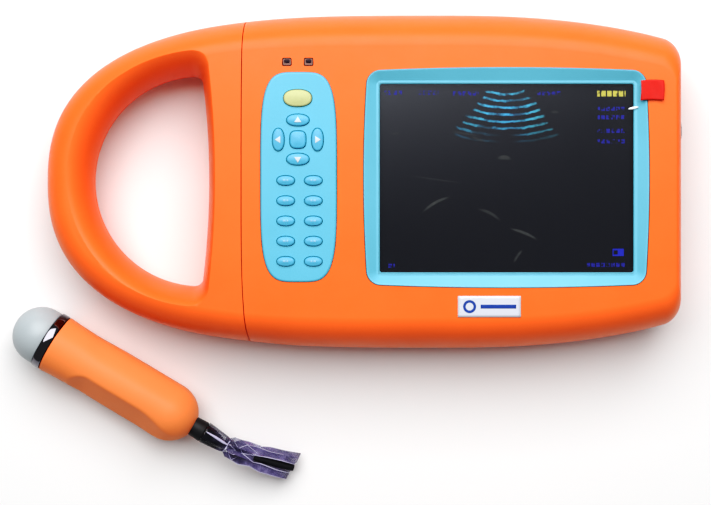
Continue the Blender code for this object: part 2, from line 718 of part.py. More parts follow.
def dome_profile(radius, height, skirt, steps):
    """Half of a dome's outline, from its tip down to its skirt."""
    points = []
    for i in range(steps + 1):
        angle = math.radians(90 * i / steps)
        points.append((radius * math.sin(angle), skirt + height * math.cos(angle)))
    return points


def grip_section(z, radius, flat, count=20):
    """One section of the probe's grip: round, with a flat on each flank where flat is under 1."""
    points = []
    for i in range(count):
        angle = 2 * math.pi * i / count
        reach = radius
        for side in (-1, 1):
            facing = math.cos(angle - side * math.radians(68))
            if facing > 0:
                reach = min(reach, radius * flat / facing)
        points.append((reach * math.cos(angle), reach * math.sin(angle), z))
    return points


def grip_rings(shrink):
    """Sections from the ring to the rounded tail, with negative z running to the tail."""
    front = -RING_LENGTH - CLEARANCE
    tail = front - GRIP_LENGTH
    rings = []
    for share, swell, flat in ((0.0, 0.0003, 1.0), (0.12, 0.0, 1.0), (0.26, -0.0002, 0.94), (0.40, 0.0, 0.90)):
        radius = GRIP_RADIUS + swell - shrink
        rings.append(grip_section(front - GRIP_LENGTH * share, radius, flat))
    round_start = tail + GRIP_TAIL
    steps = 7
    for i in range(steps):
        angle = math.radians(72 * i / (steps - 1))
        radius = (GRIP_RADIUS - shrink) * math.cos(angle)
        rings.append(grip_section(round_start - (GRIP_TAIL - shrink) * math.sin(angle), radius, 0.90 + 0.10 * i / (steps - 1)))
    return rings


def make_probe():
    frame = bpy.data.objects.new("probe_frame", None)
    SCANNER.objects.link(frame)
    frame.location = PROBE_PLACE
    frame.rotation_euler = (0, math.radians(-90), PROBE_ANGLE)

    outer = dome_profile(DOME_RADIUS, DOME_HEIGHT, DOME_SKIRT, 7)
    inner = dome_profile(DOME_RADIUS - DOME_WALL, DOME_HEIGHT - DOME_WALL, DOME_SKIRT, 6)
    base = CLEARANCE
    shell = outer + [(DOME_RADIUS, base), (DOME_RADIUS - DOME_WALL, base)] + list(reversed(inner))
    turned("probe_dome", shell, "dome_plastic", frame, 20, closed=False)
    turned(
        "probe_ring",
        [
            (0.0127, 0.0), (RING_RADIUS - 0.0004, 0.0), (RING_RADIUS, -0.0004),
            (RING_RADIUS, -RING_LENGTH), (0.0127, -RING_LENGTH),
        ],
        "chrome", frame, 24,
    )
    turned("dome_seal", [(0.0112, 0.0), (0.0123, 0.0), (0.0123, -0.0012), (0.0112, -0.0012)], "black_rubber", frame, 20)

    grip = make_object("probe_grip", loft(grip_rings(0.0)), "orange_abs", frame)
    hollow = grip_rings(GRIP_WALL)
    mouth = [(x, y, 0.010) for x, y, z in hollow[0]]
    boolean(grip, make_object("cut_grip_hollow", loft([mouth] + hollow), parent=frame))
    tail = -RING_LENGTH - CLEARANCE - GRIP_LENGTH
    boot_hole = cylinder(BOOT_RADIUS + CLEARANCE, tail - 0.010, tail + 0.012, 20)
    boolean(grip, make_object("cut_boot_hole", boot_hole, parent=frame))

    make_boot_and_cable(frame, tail)
    make_transducer_drive(frame)


def make_boot_and_cable(frame, tail):
    ribs = []
    rib_count = 4
    top, end_radius = tail - 0.0050, 0.0029
    for i in range(rib_count):
        z = top + (BOOT_END - top) * i / rib_count
        step = (BOOT_END - top) / rib_count
        radius = BOOT_RADIUS + (end_radius - BOOT_RADIUS) * i / rib_count
        ribs += [(radius, z), (radius, z + step * 0.62), (radius - 0.0006, z + step * 0.72), (radius - 0.0006, z + step * 0.94)]
    bore = CABLE_RADIUS + CLEARANCE
    profile = [(bore, tail + 0.0090), (BOOT_RADIUS, tail + 0.0090)] + ribs + [(end_radius, BOOT_END), (bore, BOOT_END)]
    turned("strain_relief", profile, "black_rubber", frame, 14)

    path = [(0, 0, tail + 0.016), (0, 0, BOOT_END + 0.006), (0, 0, BOOT_END - 0.001)]
    for i in range(1, 7):
        share = i / 6
        path.append((-0.0092 * share ** 1.6, 0.0055 * share ** 1.4, BOOT_END - 0.001 - 0.0340 * share))
    curve = bpy.data.curves.new("probe_cable", "CURVE")
    curve.dimensions = "3D"
    curve.bevel_depth = CABLE_RADIUS
    curve.bevel_resolution = 2
    curve.use_fill_caps = True
    spline = curve.splines.new("POLY")
    spline.points.add(len(path) - 1)
    for point, place in zip(spline.points, path):
        point.co = (*place, 1.0)
    curve.materials.append(material("black_rubber"))
    cable = bpy.data.objects.new("probe_cable", curve)
    SCANNER.objects.link(cable)
    cable.parent = frame
    make_cable_wrap(frame, path[2:])


def make_cable_wrap(frame, path):
    """A thin sleeve of packing film, gathered where the boot ends and flaring out round the cable."""
    count, thickness = 14, 0.0004
    sections = [(0.0040, 0.0044), (0.0010, 0.0039), (-0.0020, 0.0032), (-0.0045, 0.0030)]
    outer, inner = [], []

    def ring(place, half_y, half_x):
        x, y, z = place
        return [
            (x + half_x * math.cos(2 * math.pi * i / count), y + half_y * math.sin(2 * math.pi * i / count), z)
            for i in range(count)
        ]

    for z, radius in sections:
        outer.append(ring((0, 0, BOOT_END + z), radius, radius))
        inner.append(ring((0, 0, BOOT_END + z), radius - thickness, radius - thickness))
    for i, place in enumerate(path[2:]):
        half_y, half_x = 0.0042 + 0.0005 * i, 0.0036
        outer.append(ring(place, half_y, half_x))
        inner.append(ring(place, half_y - thickness, half_x - thickness))
    make_object("cable_wrap", loft(outer + list(reversed(inner)), closed=True), "violet_film", frame)


def make_transducer_drive(frame):
    """The rocking transducer behind the dome, with its axle, magnet, coil and chassis."""
    chassis = make_object("probe_chassis", cylinder(0.0112, -0.0170, -0.0130, 20), "steel", frame)
    arms = [box((-0.0028, side * 0.0092 - 0.0011, -0.0150), (0.0028, side * 0.0092 + 0.0011, 0.0050)) for side in (-1, 1)]
    boolean(chassis, make_object("add_fork_arms", merged(*arms), parent=frame), "UNION")
    bores = cylinder(0.0009, -0.012, 0.012, 12, (0.0, PIVOT_Z), "Y")
    boolean(chassis, make_object("cut_axle_bores", bores, parent=frame))

    make_object("rocker_axle", cylinder(0.0006, -0.0098, 0.0098, 10, (0.0, PIVOT_Z), "Y"), "steel", frame)
    rocker = make_object("transducer_rocker", box((-0.0045, -0.0068, -0.0004), (0.0045, 0.0068, 0.0074)), "black_plastic", frame)
    boolean(rocker, make_object("cut_rocker_bore", bores_for_rocker(), parent=frame))
    make_object("transducer_element", cylinder(0.0058, 0.0078, 0.0092, 20), "ceramic_element", frame)
    make_object("drive_magnet", box((-0.0030, -0.0045, -0.0034), (0.0030, 0.0045, -0.0008)), "steel", frame)
    turned("drive_coil", [(0.0025, -0.0072), (0.0070, -0.0072), (0.0070, -0.0126), (0.0025, -0.0126)], "copper_coil", frame, 16)


def bores_for_rocker():
    return cylinder(0.0009, -0.010, 0.010, 12, (0.0, PIVOT_Z), "Y")


FRONT, REAR, GRIP_FRONT, GRIP_REAR = make_casing()
make_screws()
make_handle_bolts(FRONT, GRIP_FRONT)
make_screen(FRONT)
make_keypad(FRONT)
make_lamps(FRONT)
make_nameplate()
make_electronics()
make_battery_door(REAR)
make_end_ports(FRONT, REAR)
make_probe()
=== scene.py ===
"""The looks of the portable veterinary ultrasound scanner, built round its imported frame."""

import json
import math

import bmesh
import bpy
import numpy as np
from mathutils import Matrix, Vector


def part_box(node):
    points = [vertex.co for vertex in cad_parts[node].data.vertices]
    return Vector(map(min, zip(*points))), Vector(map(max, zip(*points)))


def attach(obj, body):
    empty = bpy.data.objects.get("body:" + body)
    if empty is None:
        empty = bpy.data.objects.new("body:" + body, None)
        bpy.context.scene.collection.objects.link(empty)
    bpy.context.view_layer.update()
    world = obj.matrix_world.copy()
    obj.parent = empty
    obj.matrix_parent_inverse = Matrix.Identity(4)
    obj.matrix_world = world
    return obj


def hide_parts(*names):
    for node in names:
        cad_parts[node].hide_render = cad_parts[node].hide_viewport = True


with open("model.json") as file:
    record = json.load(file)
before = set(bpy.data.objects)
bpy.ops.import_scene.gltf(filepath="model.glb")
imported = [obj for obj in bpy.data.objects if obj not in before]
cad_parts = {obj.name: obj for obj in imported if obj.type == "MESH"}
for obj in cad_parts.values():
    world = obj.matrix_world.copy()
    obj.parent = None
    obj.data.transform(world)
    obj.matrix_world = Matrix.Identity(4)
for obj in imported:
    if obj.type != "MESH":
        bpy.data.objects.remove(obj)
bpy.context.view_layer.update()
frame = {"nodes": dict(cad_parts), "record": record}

# ---------------------------------------------------------------- sizes from the frame

FRONT_LOW, FRONT_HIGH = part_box("front_cover")
GRIP_LOW, GRIP_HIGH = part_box("handle_front_half")
REAR_LOW, REAR_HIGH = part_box("rear_cover")
LEFT_END, RIGHT_END, HALF_HEIGHT = GRIP_LOW.x, FRONT_HIGH.x, FRONT_HIGH.y
THICKNESS = FRONT_HIGH.z
BODY_LEFT, GRIP_RIGHT = FRONT_LOW.x, GRIP_HIGH.x
SEAM_X = (BODY_LEFT + GRIP_RIGHT) / 2
FRONT_BOTTOM, REAR_TOP = FRONT_LOW.z, REAR_HIGH.z

# The casing's form
WIDEST_X = -0.0080
LEFT_POWERS = (3.5, 2.4)
RIGHT_DROP = 0.0128
RIGHT_DROP_POWER = 2.4
CORNER_RADIUS = 0.0096
FACE_LEFT_INSET = 0.0115
FACE_SIDE_INSET = 0.0165
FACE_RIGHT_INSET = 0.0060
FACE_POWERS = (3.8, 2.6)
HOLE_X = -0.1259
HOLE_RADIUS = 0.0502
HOLE_FLAT_X = -0.1211
HOLE_FLAT_BOW = 0.0028
HOLE_CORNER = 0.0048
HOLE_MOUTH_CORNER = 0.0100
HOLE_MOUTH_LIFT = 0.0028
HOLE_SLOPE = 0.0114
HOLE_FLAT_SLOPE = 0.0055
GRIP_MID_Z = 0.0220
GRIP_TAPER = 0.36
FACE_CROWN = 0.0006
END_BOW = 0.0022
END_BOW_FROM = 0.0850
SEAM_REACH = 0.030
SEAM_LEAN_LOW = 0.0036
SEAM_LEAN_HIGH = 0.0010
SEAM_ROUNDING = 0.0004
PARTING_LIP = 0.00035
CAP_STRIPS = 14

PROBE_PLACE = Vector((-0.2001, -0.0760, 0.0145))
PROBE_TURN = Matrix.Rotation(math.radians(-30.8), 4, "Z") @ Matrix.Rotation(math.radians(-90), 4, "Y")
PROBE = Matrix.Translation(PROBE_PLACE) @ PROBE_TURN

HANDLE_SCREWS = [f"handle_screw_{where}" for where in ("upper", "lower", "end")]
COVER_SCREWS = [f"cover_screw_{where}" for where in ("upper_left", "lower_left", "upper_right", "lower_right")]
LAMPS = ("power_lamp", "charge_lamp")
LAMP_HALF = (0.0020, 0.0017)

# ---------------------------------------------------------------- materials

LOOKS = {}


class Nodes:
    """A short way of building one material's node tree. Every material is kept in LOOKS by its name."""

    def __init__(self, name):
        LOOKS[name] = self
        self.material = bpy.data.materials.new(name)
        self.material.use_nodes = True
        self.tree = self.material.node_tree
        self.shader = self.tree.nodes["Principled BSDF"]
        self.position = self.new("ShaderNodeTexCoord").outputs["Object"]

    def new(self, kind, **properties):
        node = self.tree.nodes.new(kind)
        for key, value in properties.items():
            setattr(node, key, value)
        return node

    def link(self, out, into):
        self.tree.links.new(out, into)

    def feed(self, socket, value):
        if isinstance(value, bpy.types.NodeSocket):
            self.link(value, socket)
        else:
            socket.default_value = value

    def set(self, **values):
        """Sets or links the shader's own sockets: base_color stands for Base Color."""
        for key, value in values.items():
            name = key.replace("_", " ").title().replace("Ior", "IOR")
            self.feed(self.shader.inputs[name], value)

    def math(self, operation, first, *others):
        """One math node for a single value, or a chain of them over several, from the left."""
        result = first
        for value in others or (0.0,):
            node = self.new("ShaderNodeMath", operation=operation)
            self.feed(node.inputs[0], result)
            self.feed(node.inputs[1], value)
            result = node.outputs[0]
        return result

    def add(self, *values):
        return self.math("ADD", *values)

    def sub(self, a, b):
        return self.math("SUBTRACT", a, b)

    def mul(self, *values):
        return self.math("MULTIPLY", *values)

    def noise(self, scale, detail=2.0, roughness=0.5, stretch=None):
        node = self.new("ShaderNodeTexNoise")
        for name, value in (("Scale", scale), ("Detail", detail), ("Roughness", roughness)):
            node.inputs[name].default_value = value
        source = self.position
        if stretch:
            mapping = self.new("ShaderNodeMapping")
            mapping.inputs["Scale"].default_value = stretch
            self.link(source, mapping.inputs["Vector"])
            source = mapping.outputs[0]
        self.link(source, node.inputs["Vector"])
        return node.outputs["Fac"]

    def between(self, value, low, high, to_low=0.0, to_high=1.0, smooth=False):
        node = self.new("ShaderNodeMapRange", interpolation_type="SMOOTHSTEP" if smooth else "LINEAR")
        for socket, v in zip(node.inputs, (value, low, high, to_low, to_high)):
            self.feed(socket, v)
        return node.outputs["Result"]

    def mix(self, share, a, b):
        node = self.new("ShaderNodeMix", data_type="RGBA")
        self.feed(node.inputs[0], share)
        for socket, value in ((node.inputs[6], a), (node.inputs[7], b)):
            if not isinstance(value, bpy.types.NodeSocket):
                value = (*value[:3], 1.0)
            self.feed(socket, value)
        return node.outputs[2]

    def bump(self, height, strength, distance):
        node = self.new("ShaderNodeBump")
        node.inputs["Strength"].default_value = strength
        node.inputs["Distance"].default_value = distance
        self.link(height, node.inputs["Height"])
        self.link(node.outputs[0], self.shader.inputs["Normal"])


def shade(colour, factor):
    return tuple(min(1.0, c * factor) for c in colour)


def moulded(name, colour, roughness=0.4, grain=2600.0, depth=0.00003, vary=0.05, coat=0.0, specular=0.5):
    """Moulded plastic or rubber: fine grain, faint unevenness of colour and of gloss."""
    n = Nodes(name)
    share = n.between(n.add(n.noise(28.0, 4.0, 0.6), n.mul(n.noise(900.0, 3.0, 0.6), 0.35)), 0.45, 0.9)
    gloss = n.between(n.noise(60.0, 4.0, 0.65), 0.3, 0.7, roughness * 0.88, roughness * 1.12)
    n.set(base_color=n.mix(share, shade(colour, 1 - vary), shade(colour, 1 + vary)), roughness=gloss)
    n.set(coat_weight=coat, coat_roughness=0.12, specular_ior_level=specular)
    n.bump(n.noise(grain, 3.0, 0.6), 0.25, depth)


def metal(name, colour, roughness, scratches=0.0, stretch=(1, 1, 1)):
    n = Nodes(name)
    gloss = n.between(n.noise(300.0, 4.0, 0.6, stretch), 0.3, 0.7, roughness * 0.7, roughness * 1.4)
    n.set(metallic=1.0, base_color=n.mix(n.noise(40.0, 3.0), shade(colour, 0.93), colour), roughness=gloss)
    if scratches:
        n.bump(n.noise(700.0, 3.0, 0.7, stretch), scratches, 0.00002)


def circuit(name):
    """A circuit board: solder mask with tracks showing through it, and pads."""
    n = Nodes(name)
    cells = n.new("ShaderNodeTexVoronoi", distance="MANHATTAN")
    grid = n.new("ShaderNodeTexBrick")
    for texture, scale in ((cells, 260.0), (grid, 120.0)):
        texture.inputs["Scale"].default_value = scale
        n.link(n.position, texture.inputs["Vector"])
    track = n.between(cells.outputs["Distance"], 0.10, 0.16, 1.0, 0.0)
    line = n.sub(1.0, grid.outputs["Fac"])
    green = n.mix(line, (0.020, 0.13, 0.045), (0.012, 0.20, 0.07))
    n.set(base_color=n.mix(track, green, (0.55, 0.50, 0.30)), roughness=0.38)
    n.bump(line, 0.3, 0.00005)


def clear_sheet(name, tint, roughness, alpha):
    """Thin clear plastic, with faint waves in its gloss."""
    n = Nodes(name)
    n.set(base_color=n.mix(n.noise(30.0, 3.0), shade(tint, 0.9), tint), roughness=roughness, alpha=alpha)
    n.set(ior=1.49, specular_ior_level=0.4)
    n.bump(n.noise(45.0, 2.0, 0.4), 0.04, 0.0002)
    n.material.surface_render_method = "BLENDED"


moulded("orange_abs", (0.94, 0.155, 0.042), 0.38, 2200.0, 0.00003, 0.03, 0.0, 0.24)
moulded("orange_grip", (0.87, 0.240, 0.096), 0.44, 1900.0, 0.00003, 0.03, 0.0, 0.14)
moulded("cyan_abs", (0.150, 0.472, 0.62), 0.40, 2400.0, 0.00002, 0.03, 0.0, 0.40)
moulded("cyan_panel", (0.122, 0.452, 0.62), 0.40, 2400.0, 0.00002, 0.03, 0.0, 0.40)
moulded("cyan_rubber", (0.104, 0.405, 0.605), 0.40, 3000.0, 0.00002, 0.05, 0.0, 0.40)
moulded("yellow_rubber", (0.48, 0.50, 0.23), 0.40, 3000.0, 0.00002, 0.06)
moulded("white_print", (0.55, 0.60, 0.63), 0.5, 4000.0, 0.00001, 0.04)
moulded("pale_print", (0.26, 0.50, 0.68), 0.5, 4000.0, 0.00001, 0.06)
moulded("black_plastic", (0.014, 0.014, 0.016), 0.45, 2000.0, 0.00003, 0.2)
moulded("black_rubber", (0.028, 0.028, 0.031), 0.50, 1800.0, 0.00005, 0.25, 0.0, 0.28)
moulded("red_film", (0.62, 0.030, 0.022), 0.45, 1500.0, 0.00002, 0.12, 0.0, 0.22)
moulded("lamp_lens", (0.22, 0.110, 0.090), 0.30, 1500.0, 0.00001, 0.2, 0.0, 0.3)
moulded("lamp_core", (0.030, 0.010, 0.022), 0.4, 1500.0, 0.00001, 0.3, 0.0, 0.2)
moulded("white_label", (0.60, 0.62, 0.68), 0.35, 3500.0, 0.00001, 0.03, 0.2)
moulded("label_blue", (0.02, 0.06, 0.30), 0.35, 3500.0, 0.00001, 0.08)
moulded("battery_wrap", (0.03, 0.055, 0.20), 0.32, 600.0, 0.00008, 0.15)
moulded("dome_plastic", (0.40, 0.445, 0.465), 0.42, 2600.0, 0.00001, 0.03, 0.0, 0.45)
moulded("ceramic_element", (0.60, 0.54, 0.40), 0.35, 1800.0, 0.00003, 0.08)
metal("chrome", (0.185, 0.18, 0.20), 0.05)
metal("steel", (0.50, 0.50, 0.52), 0.28, 0.3, (1, 1, 14))
metal("copper_coil", (0.70, 0.30, 0.12), 0.30, 0.9, (1, 1, 30))
circuit("circuit_board")
clear_sheet("clear_acrylic", (0.012, 0.013, 0.016), 0.12, 0.06)
clear_sheet("clear_film", (0.03, 0.034, 0.040), 0.30, 0.065)
# near-white: a painted glint on a fold of the screen film
moulded("film_fold", (0.80, 0.82, 0.84), 0.15, 900.0, 0.00002, 0.06, 0.5)
# pale lilac: painted highlights along the creases of the violet film
moulded("film_edge", (0.50, 0.48, 0.66), 0.15, 900.0, 0.00002, 0.15, 0.6)

# every CAD node that still shows takes the finish of its slot
for entry in frame["record"]["subparts"]:
    if entry["material_slot"] in LOOKS:
        materials = frame["nodes"][entry["node"]].data.materials
        materials.clear()
        materials.append(LOOKS[entry["material_slot"]].material)

# ---------------------------------------------------------------- mesh helpers


def shade_with_edges(mesh, smooth):
    """Smooth shading, with sharp edges where faces meet at more than that many degrees."""
    mesh.shade_smooth()
    mesh.set_sharp_from_angle(angle=math.radians(smooth))


def new_object(name, bm, look=None, smooth=35.0):
    bmesh.ops.recalc_face_normals(bm, faces=bm.faces)
    mesh = bpy.data.meshes.new(name)
    bm.to_mesh(mesh)
    bm.free()
    obj = bpy.data.objects.new(name, mesh)
    bpy.context.scene.collection.objects.link(obj)
    if look:
        mesh.materials.append(LOOKS[look].material)
    shade_with_edges(mesh, smooth)
    return obj


def carve(obj, cutters):
    """Applies exact Booleans and removes the cutters."""
    for cutter in cutters:
        modifier = obj.modifiers.new("carve", "BOOLEAN")
        modifier.operation, modifier.solver, modifier.object = "DIFFERENCE", "EXACT", cutter
    graph = bpy.context.evaluated_depsgraph_get()
    mesh = bpy.data.meshes.new_from_object(obj.evaluated_get(graph), depsgraph=graph)
    obj.modifiers.clear()
    old, obj.data = obj.data, mesh
    bpy.data.meshes.remove(old)
    for cutter in cutters:
        bpy.data.objects.remove(cutter)


def piece(
    name, bm, look, body, nodes=(), smooth=35.0, cutters=(), weighted=False, thickness=0.0, offset=-1.0
):
    """A finished piece of the scanner: it rides on a body and may stand for CAD nodes.

    Weighted normals keep broad faces even beside their rounded
    edges, and a thickness makes an open surface into a sheet.
    """
    obj = new_object(name, bm, look, smooth)
    if cutters:
        carve(obj, cutters)
    if weighted:
        shade_with_edges(obj.data, smooth)
        modifier = obj.modifiers.new("normals", "WEIGHTED_NORMAL")
        modifier.mode, modifier.keep_sharp = "FACE_AREA", True
    if thickness:
        modifier = obj.modifiers.new("thickness", "SOLIDIFY")
        modifier.thickness, modifier.offset = thickness, offset
    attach(obj, body)
    if nodes:
        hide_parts(*nodes)


def bridge(bm, low, high, around=True):
    """Faces between two rows of vertices. A row may be one vertex repeated, which gives triangles."""
    count = len(low)
    for i in range(count if around else count - 1):
        j = (i + 1) % count
        corners = list(dict.fromkeys((low[i], low[j], high[j], high[i])))
        if len(corners) > 2:
            bm.faces.new(corners)


def loft(rings, closed=False, cap_high=True):
    """A shape through rings of points: capped at both ends, or closed from the last ring back to the first."""
    bm = bmesh.new()
    rows = [[bm.verts.new(point) for point in ring] for ring in rings]
    for low, high in zip(rows, rows[1:]):
        bridge(bm, low, high)
    if closed:
        bridge(bm, rows[-1], rows[0])
    else:
        bm.faces.new(reversed(rows[0]))
        if cap_high:
            bm.faces.new(rows[-1])
    return bm


def domed_cap(bm, ring, inner_rings, centre):
    """Closes a ring of vertices with smaller rings and a middle point, each a (share, z) of the ring."""
    last = ring
    for share, z in inner_rings:
        row = []
        for vert in ring:
            x = centre[0] + (vert.co.x - centre[0]) * share
            y = centre[1] + (vert.co.y - centre[1]) * share
            row.append(bm.verts.new((x, y, z)))
        bridge(bm, last, row)
        last = row
    tip = bm.verts.new((centre[0], centre[1], last[0].co.z))
    bridge(bm, last, [tip] * len(last))


def length_along(x, y):
    """The length of a line of points up to each of them."""
    return np.concatenate([[0], np.cumsum(np.hypot(np.diff(x), np.diff(y)))])


def superellipse(half_x, half_y, power, count, centre):
    """Outline points of a rounded rectangle with bowed sides, evenly spaced along it."""
    t = np.linspace(0, 2 * math.pi, 2881)
    c, s = np.cos(t), np.sin(t)
    x = half_x * np.sign(c) * np.abs(c) ** (2 / power)
    y = half_y * np.sign(s) * np.abs(s) ** (2 / power)
    run = length_along(x, y)
    at = np.linspace(0, run[-1], count, endpoint=False)
    return [(centre[0] + a, centre[1] + b) for a, b in zip(np.interp(at, run, x), np.interp(at, run, y))]


def soft_rectangle(half_x, half_y, radius, bow_x, bow_y, centre):
    """Outline points of a rectangle with round corners and sides that bow outwards."""
    side_x, side_y, arc = 22, 18, 10
    flat_x, flat_y = half_x - bow_x - radius, half_y - bow_y - radius
    corners = [(flat_x, -flat_y), (flat_x, flat_y), (-flat_x, flat_y), (-flat_x, -flat_y)]
    points = []
    for k, steps in enumerate((side_y, side_x, side_y, side_x)):
        last, corner = corners[k], corners[(k + 1) % 4]
        start = math.radians(90 * k)
        out = (radius * math.cos(start), radius * math.sin(start))
        for i in range(steps):
            share = (i + 0.5) / steps
            points.append(tuple(a + (b - a) * share + c for a, b, c in zip(last, corner, out)))
        for i in range(arc + 1):
            turn = start + math.radians(90 * i / arc)
            points.append((corner[0] + radius * math.cos(turn), corner[1] + radius * math.sin(turn)))
    bowed = []
    for x, y in points:
        push_x = bow_x * (1 - (y / half_y) ** 2) * x / (half_x - bow_x)
        push_y = bow_y * (1 - (x / half_x) ** 2) * y / (half_y - bow_y)
        bowed.append((centre[0] + x + push_x, centre[1] + y + push_y))
    return bowed


def at_height(outline, z):
    return [(x, y, z) for x, y in outline]


def box(low, high, bevel=0.0, segments=2):
    bm = bmesh.new()
    bmesh.ops.create_cube(bm, size=1.0)
    size = Vector(high) - Vector(low)
    bmesh.ops.scale(bm, vec=size, verts=bm.verts)
    bmesh.ops.translate(bm, vec=Vector(low) + size / 2, verts=bm.verts)
    if bevel:
        bmesh.ops.bevel(bm, geom=bm.edges[:], offset=bevel, segments=segments, profile=0.5, affect="EDGES")
    return bm


def circle(count):
    """(cosine, sine) of evenly spaced angles."""
    return [(math.cos(2 * math.pi * i / count), math.sin(2 * math.pi * i / count)) for i in range(count)]


def moved(bm, matrix):
    bmesh.ops.transform(bm, matrix=matrix, verts=bm.verts)
    return bm


def turned(profile, segments, matrix=None, closed=False):
    """A shape turned about Z from (radius, z) points. Points on the axis become single vertices."""
    bm = bmesh.new()
    rows = []
    for r, z in profile:
        if r:
            rows.append([bm.verts.new((r * c, r * s, z)) for c, s in circle(segments)])
        else:
            rows.append([bm.verts.new((0, 0, z))] * segments)
    for low, high in zip(rows, rows[1:]):
        bridge(bm, low, high)
    if closed:
        bridge(bm, rows[-1], rows[0])
    return moved(bm, matrix) if matrix else bm


def join(*shapes):
    whole = bmesh.new()
    for shape in shapes:
        mesh = bpy.data.meshes.new("join")
        shape.to_mesh(mesh)
        shape.free()
        whole.from_mesh(mesh)
        bpy.data.meshes.remove(mesh)
    return whole


def surface(columns, rows, point):
    """An open surface through point(u, v), both running from 0 to 1."""
    bm = bmesh.new()
    grid = [[bm.verts.new(point(i / columns, j / rows)) for i in range(columns + 1)] for j in range(rows + 1)]
    for low, high in zip(grid, grid[1:]):
        bridge(bm, low, high, around=False)
    return bm


def hoop(centre, ahead, side, radius, count):
    """A ring of points square to the way ahead; side is one direction in its plane."""
    across = ahead.cross(side)
    return [tuple(centre + radius * (c * side + s * across)) for c, s in circle(count)]


def tube(line, radius, count):
    """A round thread along a line of points, thinner at both ends."""
    rings = []
    for i, centre in enumerate(line):
        ahead = (line[min(i + 1, len(line) - 1)] - line[max(i - 1, 0)]).normalized()
        size = radius * (0.4 if i in (0, len(line) - 1) else 1.0)
        rings.append(hoop(centre, ahead, ahead.orthogonal().normalized(), size, count))
    return loft(rings)


def quarter(steps, power=2.0):
    """(share, rise) pairs of a quarter-round edge; a power under 2 gives a flatter, chamfer-like one."""
    pairs = []
    for i in range(steps + 1):
        angle = math.radians(90 * i / steps)
        pairs.append((1 - max(math.cos(angle), 0.0) ** (2 / power), math.sin(angle) ** (2 / power)))
    return pairs


def pill(half_x, half_y, power, count, centre):
    """The rings of a piece with a superellipse outline, as a function of its growth and its height."""

    def ring(change, z):
        return at_height(superellipse(half_x + change, half_y + change, power, count, centre), z)

    return ring


def rim(ring, top, reach, steps, height=None, change=0.0):
    """The rings of a rounded edge that draws in by reach while it rises to the top."""
    height = height or reach
    return [ring(change - reach * share, top - height + height * rise) for share, rise in quarter(steps)[1:]]


def middle(name):
    """The middle of a node, seen from above."""
    low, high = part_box(name)
    return (low.x + high.x) / 2, (low.y + high.y) / 2


def upright(name):
    """Carries a turned shape to the middle of a node, seen from above."""
    return Matrix.Translation((*middle(name), 0))


def end_place(name):
    """Turns an upright profile so that it lies along X through the middle of a node of the right-hand end."""
    low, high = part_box(name)
    lying = Matrix.Rotation(math.radians(90), 4, "Y")
    return Matrix.Translation((0, (low.y + high.y) / 2, (low.z + high.z) / 2)) @ lying


# ---------------------------------------------------------------- casing


def outline_parameters(count_left, count_right, count_corner):
    """Angles of the left part spaced evenly along it, then fractions of the right part and of the corner."""
    angles = np.linspace(0, 90, 3601)
    x = (WIDEST_X - LEFT_END) * np.cos(np.radians(angles)).clip(0) ** (2 / LEFT_POWERS[0])
    y = HALF_HEIGHT * np.sin(np.radians(angles)).clip(0) ** (2 / LEFT_POWERS[1])
    run = length_along(x, y)
    left = np.interp(np.linspace(0, run[-1], count_left + 1), run, angles)
    return left, np.linspace(0, 1, count_right + 1)[1:], np.linspace(0, 1, count_corner + 1)[1:]


LEFT_ANGLES, RIGHT_SHARES, CORNER_SHARES = outline_parameters(110, 46, 14)


def edge_outline(left, right, half_height, powers):
    """An outline of the casing, from the right end along the top to the left end and back along the bottom."""
    top = []
    for degrees in LEFT_ANGLES:
        c = max(math.cos(math.radians(degrees)), 0.0)
        s = max(math.sin(math.radians(degrees)), 0.0)
        top.append((WIDEST_X - (WIDEST_X - left) * c ** (2 / powers[0]), half_height * s ** (2 / powers[1])))
    span = RIGHT_END - WIDEST_X
    run = (right - CORNER_RADIUS - WIDEST_X) / span
    slope = math.atan(RIGHT_DROP * RIGHT_DROP_POWER * run ** (RIGHT_DROP_POWER - 1) / span)
    start = right - CORNER_RADIUS * (1 - math.sin(slope))
    for share in RIGHT_SHARES:
        x = WIDEST_X + (start - WIDEST_X) * share
        top.append((x, half_height - RIGHT_DROP * ((x - WIDEST_X) / span) ** RIGHT_DROP_POWER))
    centre_x, centre_y = right - CORNER_RADIUS, top[-1][1] - CORNER_RADIUS * math.cos(slope)
    for share in CORNER_SHARES:
        angle = (math.pi / 2 - slope) * (1 - share)
        top.append((centre_x + CORNER_RADIUS * math.cos(angle), centre_y + CORNER_RADIUS * math.sin(angle)))
    return top[::-1] + [(x, -y) for x, y in top[1:]]


def hole_outline(radius, flat_x, corner):
    """The hand opening: a round arch closed by a slightly bowed flat, with round corners."""
    flat_steps, corner_steps, arc_steps = 16, 16, 75
    reach = radius - corner
    lean = math.asin((flat_x - HOLE_FLAT_BOW - corner - HOLE_X) / reach)
    corner_x, corner_y = HOLE_X + reach * math.sin(lean), reach * math.cos(lean)
    top = []
    for i in range(flat_steps):
        y = corner_y * i / flat_steps
        top.append((corner_x + corner + HOLE_FLAT_BOW * (1 - (y / corner_y) ** 2), y))
    for i in range(corner_steps + 1):
        angle = (math.pi / 2 - lean) * i / corner_steps
        top.append((corner_x + corner * math.cos(angle), corner_y + corner * math.sin(angle)))
    for i in range(1, arc_steps + 1):
        angle = math.pi / 2 - lean + (math.pi / 2 + lean) * i / arc_steps
        top.append((HOLE_X + radius * math.cos(angle), radius * math.sin(angle)))
    return top + [(x, -y) for x, y in reversed(top[1:-1])]


def blend_outlines(outer, inner, share):
    return [(a[0] + (b[0] - a[0]) * share, a[1] + (b[1] - a[1]) * share) for a, b in zip(outer, inner)]


